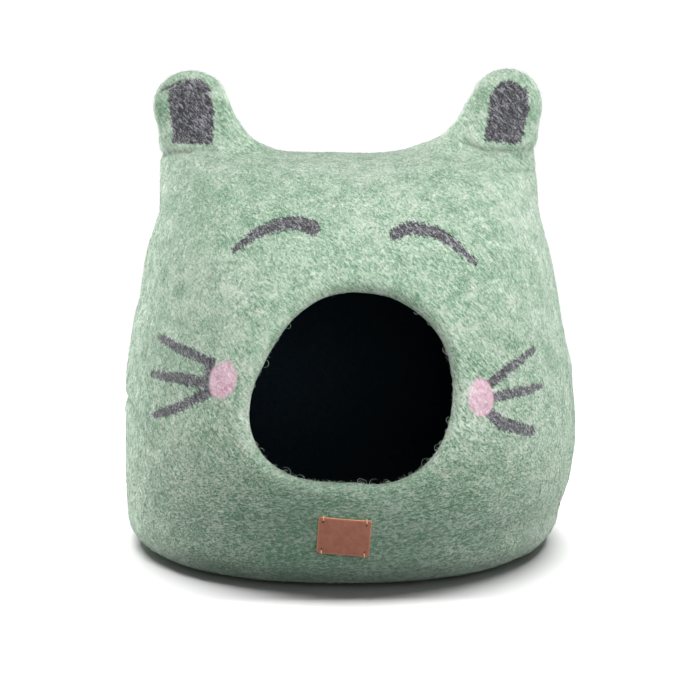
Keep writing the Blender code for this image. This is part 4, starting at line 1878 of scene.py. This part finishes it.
    def build(self) -> bpy.types.Object:
        """Build the patch, bent to the wall.

        Returns:
            The patch's object.
        """
        bm = bmesh.new()
        bm.from_mesh(self.drilled(self.plate()))
        for axis, size in ((0, self.width), (1, self.height)):
            cells = round(size / self.cell)
            for i in range(1, cells):
                direction = Vector((axis == 0, axis == 1, 0.0))
                place = direction * (size * (i / cells - 0.5))
                geometry = bm.verts[:] + bm.edges[:] + bm.faces[:]
                bmesh.ops.bisect_plane(
                    bm, geom=geometry, dist=TINY, plane_co=place, plane_no=direction
                )
        bmesh.ops.remove_doubles(bm, verts=bm.verts, dist=TINY)
        bmesh.ops.triangulate(bm, faces=[face for face in bm.faces if len(face.verts) > 4])
        flat = np.array([vert.co[:] for vert in bm.verts])
        self.mark_edges(bm, flat)
        ripple = np.array([noise.noise(Vector(point) * self.ripple_waves) for point in flat])
        flat[:, 2] += self.gap + self.ripple * ripple
        for vert, point in zip(bm.verts, self.on_wall(flat)):
            vert.co = point
        mesh = finished(bm, "sewn_patch")
        piece = add_piece("sewn_patch", mesh, self.finish.material())
        mesh.set_sharp_from_angle(angle=self.sharp_angle)
        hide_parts("leather_patch")
        return piece

    def mark_edges(self, bm: bmesh.types.BMesh, flat: np.ndarray) -> None:
        """Mark the cut edge and the worn band inside it, for the finish.

        Args:
            bm: The plate.
            flat: Its points.
        """
        cut = bm.verts.layers.float.new("cut_edge")
        worn = bm.verts.layers.float.new("worn_edge")
        in_from_side = self.width / 2 - np.abs(flat[:, 0])
        in_from_end = self.height / 2 - np.abs(flat[:, 1])
        corner = np.hypot(
            np.maximum(self.corner_radius - in_from_side, 0.0),
            np.maximum(self.corner_radius - in_from_end, 0.0),
        )
        inset = np.minimum(np.minimum(in_from_side, in_from_end), self.corner_radius - corner)
        rounded = np.sqrt(np.clip(1 - inset / self.edge_round, 0.0, 1.0))
        band = np.clip(1 - inset / self.worn_band, 0.0, 1.0)
        for vert, edge, near in zip(bm.verts, rounded, band):
            on_face = vert.co.z > self.thickness - TINY
            vert[cut], vert[worn] = (0.0, near) if on_face else (edge, 1.0)


@dataclass
class Stitches:
    """Four short stitches of two-ply thread, each from a hole over the edge into the felt."""

    patch: LeatherPatch
    finish: ThreadFinish
    ply_radius: float = 0.00036
    ply_offset: float = 0.00031
    turns: float = 2.6
    rings: int = 44
    sides: int = 8
    step: float = 1e-3
    rest: float = 0.00042
    past_hole: float = 1.7
    past_edge: float = 0.0005
    bends: tuple[tuple[float, float, float, float], ...] = (
        # aside, share of the way from hole to edge, further out, above the patch's face
        (0.0, 0.0, 0.0, -0.0017),
        (0.0, 0.0, 0.0001, -0.0005),
        (0.00004, 0.0, 0.0007, 0.0),
        (0.00008, 0.5, 0.0, 0.00006),
        (0.00004, 1.0, -0.0010, 0.0),
        (0.0, 1.0, -0.0001, -0.0007),
        (0.0, 1.0, 0.0001, -0.00367),
    )

    def path(self, hole: tuple[float, float], t: np.ndarray) -> np.ndarray:
        """Flat points along one stitch.

        Args:
            hole: The hole it comes from.
            t: Shares of its length.

        Returns:
            The points.
        """
        x, y = hole
        side = math.copysign(1.0, y)
        top = self.patch.thickness + self.patch.gap + self.rest
        edge = side * (self.patch.height / 2 + self.past_edge)
        start = y + side * self.past_hole * self.patch.hole_radius
        rows = np.array([
            (x + aside, start + share * (edge - start) + side * further, top + above)
            for aside, share, further, above in self.bends
        ])
        length = lengths_along(rows)
        return interpolated(t * length[-1], length, rows)

    def ply(self, hole: tuple[float, float], phase: float) -> bpy.types.Mesh:
        """One ply of one stitch: a closed tube laid in a helix round the stitch's path.

        Args:
            hole: The hole the stitch comes from.
            phase: Where the ply starts round the path, in radians.

        Returns:
            The ply's mesh.
        """
        bm = bmesh.new()
        bmesh.ops.create_cone(
            bm, cap_ends=True, segments=self.sides, radius1=1.0, radius2=1.0, depth=1.0
        )
        along = rising_edges(bm)
        bmesh.ops.subdivide_edges(bm, edges=along, cuts=self.rings, use_grid_fill=False)
        local = np.array([vert.co[:] for vert in bm.verts])
        t = local[:, 2] + 0.5
        line = self.path(hole, t)
        next_t, last_t = (np.clip(t + step, 0, 1) for step in (self.step, -self.step))
        ahead = unit(self.path(hole, next_t) - self.path(hole, last_t))
        beside = np.tile([1.0, 0.0, 0.0], (len(local), 1))
        outward = unit(np.cross(ahead, beside))
        twist = phase + 2 * math.pi * self.turns * t
        centre = line + self.ply_offset * (
            np.cos(twist)[:, None] * beside + np.sin(twist)[:, None] * outward
        )
        flat = centre + self.ply_radius * (local[:, :1] * beside + local[:, 1:2] * outward)
        for vert, point in zip(bm.verts, self.patch.on_wall(flat)):
            vert.co = point
        bmesh.ops.recalc_face_normals(bm, faces=bm.faces)
        return finished(bm, "ply")

    def build(self) -> bpy.types.Object:
        """Build the four stitches as one piece.

        Returns:
            The stitches' object.
        """
        bm = bmesh.new()
        for hole in self.patch.holes():
            for phase in (0.0, math.pi):
                ply = self.ply(hole, phase)
                bm.from_mesh(ply)
                bpy.data.meshes.remove(ply)
        mesh = finished(bm, "patch_stitches")
        return add_piece("patch_stitches", mesh, self.finish.material())


class Lie(Enum):
    """How loose fibres lie: matted down on the felt, standing off it, or curling in at the lip."""

    MATTED = "matted"
    STANDING = "standing"
    CURLED = "curled"


@dataclass(frozen=True)
class FibreKind:
    """One kind of loose fibre: how many, how long and thick, and how high it rises.

    A curl's rise is how far it turns, in radians.
    """

    name: str
    seed: int
    lie: Lie = Lie.MATTED
    count: int = 10500
    length: tuple[float, float] = (0.004, 0.012)
    thickness: tuple[float, float] = (0.00022, 0.00044)
    rise: tuple[float, float] = (0.0002, 0.0006)
    bend: float = 0.5
    steps: int = 3


@dataclass
class LooseWool:
    """Loose wool fibres on the outside of the shell."""

    shell: FeltShell
    patch: LeatherPatch
    face: Face
    felt: FeltFinish
    finish: LooseWoolFinish
    kinds: tuple[FibreKind, ...] = (
        FibreKind("matted_wool_a", 11),
        FibreKind("matted_wool_b", 12),
        FibreKind("matted_wool_c", 13),
        FibreKind(
            "wool_fuzz", 14, Lie.STANDING, 9000, (0.003, 0.008), (0.00016, 0.0003),
            (0.0006, 0.0018), 0.8,
        ),
        FibreKind(
            "lip_fringe", 15, Lie.CURLED, 600, (0.0012, 0.0040), (0.0002, 0.00036),
            (0.4, 1.8), 0.2, 4,
        ),
        FibreKind(
            "lip_curls", 16, Lie.CURLED, 160, (0.0055, 0.0140), (0.00030, 0.00044),
            (2.4, 6.0), 0.1, 11,
        ),
    )
    sunk: float = 0.00015
    taper: float = 0.7
    arch: float = 3.6
    standing_power: float = 1.3
    droop: float = 0.3
    bend_start: float = 0.2
    above_floor: float = 0.0002
    patch_margin: float = 0.0030
    floor_margin: float = 0.0012
    hollow_margin: float = 0.3
    lip_band: tuple[float, float] = (0.0002, 0.0048)
    lip_margin: float = 0.0036
    green_shares: tuple[float, ...] = (0.24, 0.30, 0.26, 0.20)
    lip_shares: tuple[float, ...] = (0.4, 0.6, 0.0, 0.0)
    mark_inset: float = 0.0006
    mark_wander: float = 0.0015
    # How the painted shade low on the front calms, darkens and greens the loose fibres.
    low_shade_calm: float = 0.35
    low_shade_darkening: float = 0.55
    low_shade_green: float = 0.32
    brightness: tuple[float, float] = (0.85, 1.1)
    spread: float = 1.2
    spread_lost_aside: float = 0.7
    spread_lost_low: float = 0.75
    upright_from: float = 0.1
    curl_wander: float = 0.45
    curl_forward: float = 0.15

    def template(self, steps: int) -> tuple[np.ndarray, np.ndarray]:
        """One fibre of three sides, tapered to a point.

        Args:
            steps: How many steps it bends in.

        Returns:
            Its points as (across, up, share of its length), and its triangles.
        """
        bm = bmesh.new()
        bmesh.ops.create_cone(bm, cap_ends=True, segments=3, radius1=1.0, radius2=0.0, depth=1.0)
        bmesh.ops.subdivide_edges(bm, edges=rising_edges(bm), cuts=steps - 1)
        bmesh.ops.triangulate(bm, faces=bm.faces)
        bmesh.ops.recalc_face_normals(bm, faces=bm.faces)
        bm.verts.ensure_lookup_table()
        points = np.array([vert.co[:] for vert in bm.verts])
        share = points[:, 2] + 0.5
        around = np.maximum(np.hypot(points[:, 0], points[:, 1]), TINY)
        full = np.where(share > 1 - TINY, 0.0, (1.0 - self.taper * share) / around)
        points = np.stack([points[:, 0] * full, points[:, 1] * full, share], axis=1)
        triangles = np.array([[vert.index for vert in face.verts] for face in bm.faces])
        bm.free()
        return points, triangles

    def held_at(self, kind: FibreKind, centres: np.ndarray, inside: np.ndarray) -> np.ndarray:
        """Which of the shell's triangles hold fibres of a kind.

        Args:
            kind: The kind of fibre.
            centres: The triangles' centres.
            inside: The greatest inwardness of each triangle.

        Returns:
            True for each triangle that does.
        """
        x, y, z = centres.T
        within = self.shell.mouth.within_lip(x, z)
        if kind.lie is Lie.CURLED:
            near, far = self.lip_band
            return (inside < 1.0) & (y < 0) & (within > near) & (within < far)
        clear = (within < -self.lip_margin) | (y > 0)
        return (inside < self.hollow_margin) & (z > self.floor_margin) & clear

    def roots(
        self, kind: FibreKind, random: np.random.Generator
    ) -> tuple[np.ndarray, np.ndarray]:
        """Where on the shell the fibres of a kind are held.

        Args:
            kind: The kind of fibre.
            random: The source of chance.

        Returns:
            The places, and the felt's normals there.
        """
        mesh = self.shell.piece.data
        mesh.calc_loop_triangles()
        corners = values_of(mesh.loop_triangles, "vertices", 3, np.int32)
        points = values_of(mesh.vertices, "co", 3)
        normals = values_of(mesh.vertices, "normal", 3)
        inside = values_of(mesh.attributes["inside"].data, "value", 1)[:, 0]
        held = self.held_at(kind, points[corners].mean(axis=1), inside[corners].max(axis=1))
        corners = corners[held]
        first, second, third = (points[corners[:, i]] for i in range(3))
        area = np.linalg.norm(np.cross(second - first, third - first), axis=1)
        chosen = random.choice(len(corners), size=kind.count * 2, p=area / area.sum())
        share = random.dirichlet((1.0, 1.0, 1.0), size=len(chosen))
        place = np.einsum("ij,ijk->ik", share, points[corners[chosen]])
        normal = unit(np.einsum("ij,ijk->ik", share, normals[corners[chosen]]))
        clear = self.patch.outside(place) > self.patch_margin
        return place[clear][: kind.count], normal[clear][: kind.count]

    def colours(
        self, kind: FibreKind, place: np.ndarray, random: np.random.Generator
    ) -> np.ndarray:
        """The colour of the wool that each fibre comes from.

        Args:
            kind: The kind of fibre.
            place: Where the fibres are held.
            random: The source of chance.

        Returns:
            A linear colour for each fibre.
        """
        greens, greys, pinks = (
            np.array([tone.value for tone in tones])
            for tones in (
                (Wool.CREAM, Wool.PALE, Wool.GREEN, Wool.DEEP),
                (Wool.GREY_PALE, Wool.GREY, Wool.GREY_DEEP, Wool.GREY_DEEP),
                (Wool.PINK_PALE, Wool.PINK, Wool.PINK, Wool.PINK_DEEP),
            )
        )
        shares = self.lip_shares if kind.lie is Lie.CURLED else self.green_shares
        pick = random.choice(4, size=len(place), p=shares)
        mean = np.array(shares) @ greens
        wander = random.normal(0.0, self.mark_wander, len(place))
        x, y, z = place.T
        front = self.face.on_front(y) > 0.5
        bold = self.felt.boldness(z)[:, None]
        # deep: painted shade low on the front, painted on the loose fibres too.
        deep = self.felt.painted_low_shade(x, y, z)[:, None]
        colour = mean + (greens[pick] - mean) * bold * (1 - self.low_shade_calm * deep)
        colour *= 1 - self.low_shade_darkening * deep
        colour += (Wool.DEEP.value - colour) * self.low_shade_green * deep
        for marks, wools in ((self.face.grey, greys), (self.face.pink, pinks)):
            marked = (self.face.nearest(marks, x, z) + wander < -self.mark_inset) & front
            colour = np.where(marked[:, None], wools[pick], colour)
        return colour * random.uniform(*self.brightness, (len(place), 1))

    def directions(
        self, place: np.ndarray, normal: np.ndarray, random: np.random.Generator
    ) -> tuple[np.ndarray, np.ndarray, np.ndarray]:
        """The directions along, aside and off the felt in which each fibre runs.

        Args:
            place: Where the fibres are held.
            normal: The felt's normals there.
            random: The source of chance.

        Returns:
            Three unit vectors for each fibre.
        """
        count = len(place)
        level = np.cross(np.tile([0.0, 0.0, 1.0], (count, 1)), normal)
        level /= np.maximum(np.linalg.norm(level, axis=1, keepdims=True), TINY)
        rising = np.cross(normal, level)
        x, _, z = place.T
        side = self.felt.sideness(x) * np.clip(z / self.upright_from, 0.0, 1.0)
        low = self.felt.levelness(x, z)
        lost = np.maximum(self.spread_lost_aside * side, self.spread_lost_low * low)
        chance = random.normal(0.0, 1.0, count) * (self.spread - lost)
        turn = side * (1 - low) * math.pi / 2 + chance
        turn += math.pi * random.integers(0, 2, count)
        along = np.cos(turn)[:, None] * level + np.sin(turn)[:, None] * rising
        return along, np.cross(normal, along), normal

    def across_lip(
        self, place: np.ndarray, random: np.random.Generator
    ) -> tuple[np.ndarray, np.ndarray, np.ndarray]:
        """The directions of curls: into the mouth, out of its plane, and along the lip.

        Args:
            place: Where the curls are held.
            random: The source of chance.

        Returns:
            Three unit vectors for each curl.
        """
        middle = np.array([self.shell.mouth.x, 0.0, self.shell.mouth.z])
        into = unit((middle - place) * (1.0, 0.0, 1.0))
        wander = random.normal(0.0, self.curl_wander, into.shape)
        into = unit(into + (wander - (0.0, self.curl_forward, 0.0)))
        side = random.choice((-1.0, 1.0), (len(place), 1))
        along_lip = unit(np.cross(into, (0.0, 1.0, 0.0)) * side)
        return into, np.cross(along_lip, into), along_lip

    def build_kind(self, kind: FibreKind) -> bpy.types.Object:
        """Build one kind of fibre as one joined mesh.

        Args:
            kind: The kind of fibre.

        Returns:
            The fibres' object.
        """
        random = np.random.default_rng(kind.seed)
        template, triangles = self.template(kind.steps)
        place, normal = self.roots(kind, random)
        curled = kind.lie is Lie.CURLED
        along, aside, off = (
            self.across_lip(place, random) if curled else self.directions(place, normal, random)
        )
        count = len(place)
        length = random.uniform(*kind.length, count)[:, None]
        thick = random.uniform(*kind.thickness, count) / 2
        rise = random.uniform(*kind.rise, count)[:, None]
        bend = random.normal(0.0, kind.bend, count)[:, None] * length
        t = template[:, 2][None, :]
        forward = length * (t - self.droop * t * t)
        sideways = bend * (t - self.bend_start) * t
        if kind.lie is Lie.MATTED:
            height = -self.sunk + (rise + self.sunk) * self.arch * t * (1 - t)
        elif kind.lie is Lie.STANDING:
            height = -self.sunk + rise * t**self.standing_power
        else:
            height = length / rise * (1 - np.cos(rise * t))
            forward = length / rise * np.sin(rise * t)
        around = (rise * t if curled else np.zeros_like(forward))[..., None]
        lift = np.cos(around) * off[:, None, :] - np.sin(around) * along[:, None, :]
        centre = place[:, None, :]
        for step, way in ((forward, along), (sideways, aside), (height, off)):
            centre = centre + step[..., None] * way[:, None, :]
        points = centre + thick[:, None, None] * (
            template[None, :, :1] * aside[:, None, :] + template[None, :, 1:2] * lift
        )
        points[..., 2] = np.maximum(points[..., 2], self.above_floor)
        mesh = joined_mesh(kind.name, points, triangles)
        colour = np.repeat(self.colours(kind, place, random), len(template), axis=0)
        layer = mesh.color_attributes.new("wool_colour", "FLOAT_COLOR", "POINT")
        layer.data.foreach_set("color", np.hstack([colour, np.ones((len(colour), 1))]).ravel())
        return add_piece(kind.name, mesh, self.finish.material())

    def build(self) -> list[bpy.types.Object]:
        """Build every kind of fibre."""
        return [self.build_kind(kind) for kind in self.kinds]


def joined_mesh(name: str, points: np.ndarray, triangles: np.ndarray) -> bpy.types.Mesh:
    """Many copies of one shape as one mesh.

    Args:
        name: The mesh's name.
        points: The copies' points, copy by copy.
        triangles: One copy's triangles.

    Returns:
        The mesh.
    """
    copies, each = points.shape[:2]
    corners = (triangles[None, :, :] + each * np.arange(copies)[:, None, None]).reshape(-1)
    mesh = bpy.data.meshes.new(name)
    mesh.vertices.add(copies * each)
    mesh.vertices.foreach_set("co", points.reshape(-1))
    mesh.loops.add(len(corners))
    mesh.loops.foreach_set("vertex_index", corners.astype(np.int32))
    faces = len(corners) // 3
    mesh.polygons.add(faces)
    mesh.polygons.foreach_set("loop_start", np.arange(faces, dtype=np.int32) * 3)
    mesh.update(calc_edges=True)
    return mesh


# ------------------------------------ studio
class Lit(Enum):
    """What a light falls on."""

    CAVE = "lit_cave"
    FLOOR = "lit_floor"

    def collection(self) -> bpy.types.Collection:
        """The collection of the objects that such lights fall on."""
        return bpy.data.collections.get(self.value) or bpy.data.collections.new(self.value)


def aimed(place: Triple | Vector, aim: Triple | Vector) -> Matrix:
    """Where a lamp or camera stands that points from one place at another."""
    turn = (Vector(aim) - Vector(place)).to_track_quat("-Z", "Y")
    return Matrix.Translation(place) @ turn.to_matrix().to_4x4()


@dataclass(frozen=True)
class SoftLight:
    """A soft light, wide and deep, that points at the cave."""

    name: str
    place: Triple
    size: tuple[float, float]
    power: float
    falls_on: Lit = Lit.CAVE
    aim: Triple = (0.0, 0.0, 0.2)

    def build(self) -> None:
        """Hang the light."""
        lamp = bpy.data.lights.new(self.name, "AREA")
        lamp.shape = "RECTANGLE"
        lamp.size, lamp.size_y = self.size
        lamp.energy = self.power
        item = bpy.data.objects.new(self.name, lamp)
        item.matrix_world = aimed(self.place, self.aim)
        item.light_linking.receiver_collection = self.falls_on.collection()
        bpy.context.scene.collection.objects.link(item)


@dataclass(frozen=True)
class Studio:
    """A plain pale floor, soft light from above and the camera."""

    lights: tuple[SoftLight, ...] = (
        SoftLight("front_above", (0.15, -0.90, 1.20), (0.8, 0.8), 11.0),
        SoftLight("front", (0.45, -1.90, 0.45), (1.2, 1.0), 12.4),
        SoftLight("above", (0.1, 0.35, 2.2), (1.6, 1.6), 12.0),
        SoftLight("left_front", (-1.45, -0.60, 0.15), (0.9, 0.9), 4.4),
        SoftLight("right_front", (1.45, -0.60, 0.15), (0.9, 0.9), 6.8),
        SoftLight("left_side", (-1.35, 0.95, 0.10), (1.1, 1.1), 72.0),
        SoftLight("right_side", (1.35, 0.95, 0.15), (1.1, 1.1), 29.0),
        SoftLight("above_floor", (-0.01, 0.475, 2.2), (3.0, 0.6), 268.0, Lit.FLOOR),
    )
    floor_radius: float = 6.0
    shadow_radius: float = 0.50
    white_radius: float = 1.0
    surround: float = 0.18
    white: float = 1.02
    floor_seen: float = 0.55
    floor_bounce: float = 0.10
    camera_distance: float = 2.0
    camera_elevation: float = math.radians(10.0)
    camera_target: float = 0.190
    nearest_seen: float = 0.05
    farthest_seen: float = 60.0
    lens: float = 102.857
    sensor: float = 36.0

    def floor_material(self) -> bpy.types.Material:
        """A pale floor that turns plain white away from the cave.

        Returns:
            The material.
        """
        nodes = Nodes(bpy.data.materials.new("pale_floor"))
        _, x, y, _ = nodes.place()
        span = self.white_radius - self.shadow_radius
        far = ramped(length_of(x, y), self.shadow_radius, 1 / span)
        seen = Value(nodes, nodes.add("ShaderNodeLightPath").outputs["Is Camera Ray"])
        colour = nodes.blend(seen, (self.floor_bounce,) * 3, (self.floor_seen,) * 3)
        near = nodes.add("ShaderNodeBsdfDiffuse", inputs={"Color": colour})
        glow = {"Color": (1.0, 1.0, 1.0), "Strength": self.white}
        white = nodes.add("ShaderNodeEmission", inputs=glow)
        shaders = {0: far * seen, 1: near.outputs[0], 2: white.outputs[0]}
        return nodes.end(nodes.add("ShaderNodeMixShader", inputs=shaders))

    def build_floor(self) -> None:
        """Lay the floor."""
        bm = bmesh.new()
        bmesh.ops.create_circle(bm, cap_ends=True, segments=96, radius=self.floor_radius)
        mesh = finished(bm, "studio_floor")
        mesh.materials.append(self.floor_material())
        floor = bpy.data.objects.new("studio_floor", mesh)
        bpy.context.scene.collection.objects.link(floor)
        Lit.FLOOR.collection().objects.link(floor)

    def build_surround(self) -> None:
        """Light the scene evenly from all round, and show white behind the floor."""
        nodes = Nodes(bpy.data.worlds.new("studio_surround"), "ShaderNodeOutputWorld")
        seen = nodes.add("ShaderNodeLightPath").outputs["Is Camera Ray"]
        limits = {"Value": seen, "To Min": self.surround, "To Max": self.white}
        strength = nodes.add("ShaderNodeMapRange", inputs=limits).outputs["Result"]
        glow = {"Color": (1.0, 1.0, 1.0), "Strength": strength}
        bpy.context.scene.world = nodes.end(nodes.add("ShaderNodeBackground", inputs=glow))

    def build_camera(self) -> None:
        """Set the camera at the photograph's angle."""
        data = bpy.data.cameras.new("camera")
        data.lens = self.lens
        data.sensor_width = self.sensor
        data.clip_start = self.nearest_seen
        data.clip_end = self.farthest_seen
        camera = bpy.data.objects.new("camera", data)
        target = Vector((0.0, 0.0, self.camera_target))
        away = (0.0, -math.cos(self.camera_elevation), math.sin(self.camera_elevation))
        camera.matrix_world = aimed(target + self.camera_distance * Vector(away), target)
        bpy.context.scene.collection.objects.link(camera)
        bpy.context.scene.camera = camera

    def build(self) -> None:
        """Set up floor, surround, lights and camera."""
        self.build_floor()
        self.build_surround()
        for light in self.lights:
            light.build()
        self.build_camera()
        bpy.context.scene.view_settings.view_transform = "Standard"


def main() -> None:
    """Build the cave's pieces and the studio, in order."""
    logging.basicConfig(level=logging.INFO, format="%(message)s")
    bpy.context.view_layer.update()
    form = FeltForm()
    face = Face()
    studio = Studio()
    studio.build()
    patch = LeatherPatch(form, LeatherFinish())
    felt = FeltFinish(face)
    shell = FeltShell(form, Mouth(), felt)
    shell.build(patch)
    patch.build()
    Stitches(patch, ThreadFinish()).build()
    LooseWool(shell, patch, face, felt, LooseWoolFinish()).build()


if __name__ == "__main__":
    main()
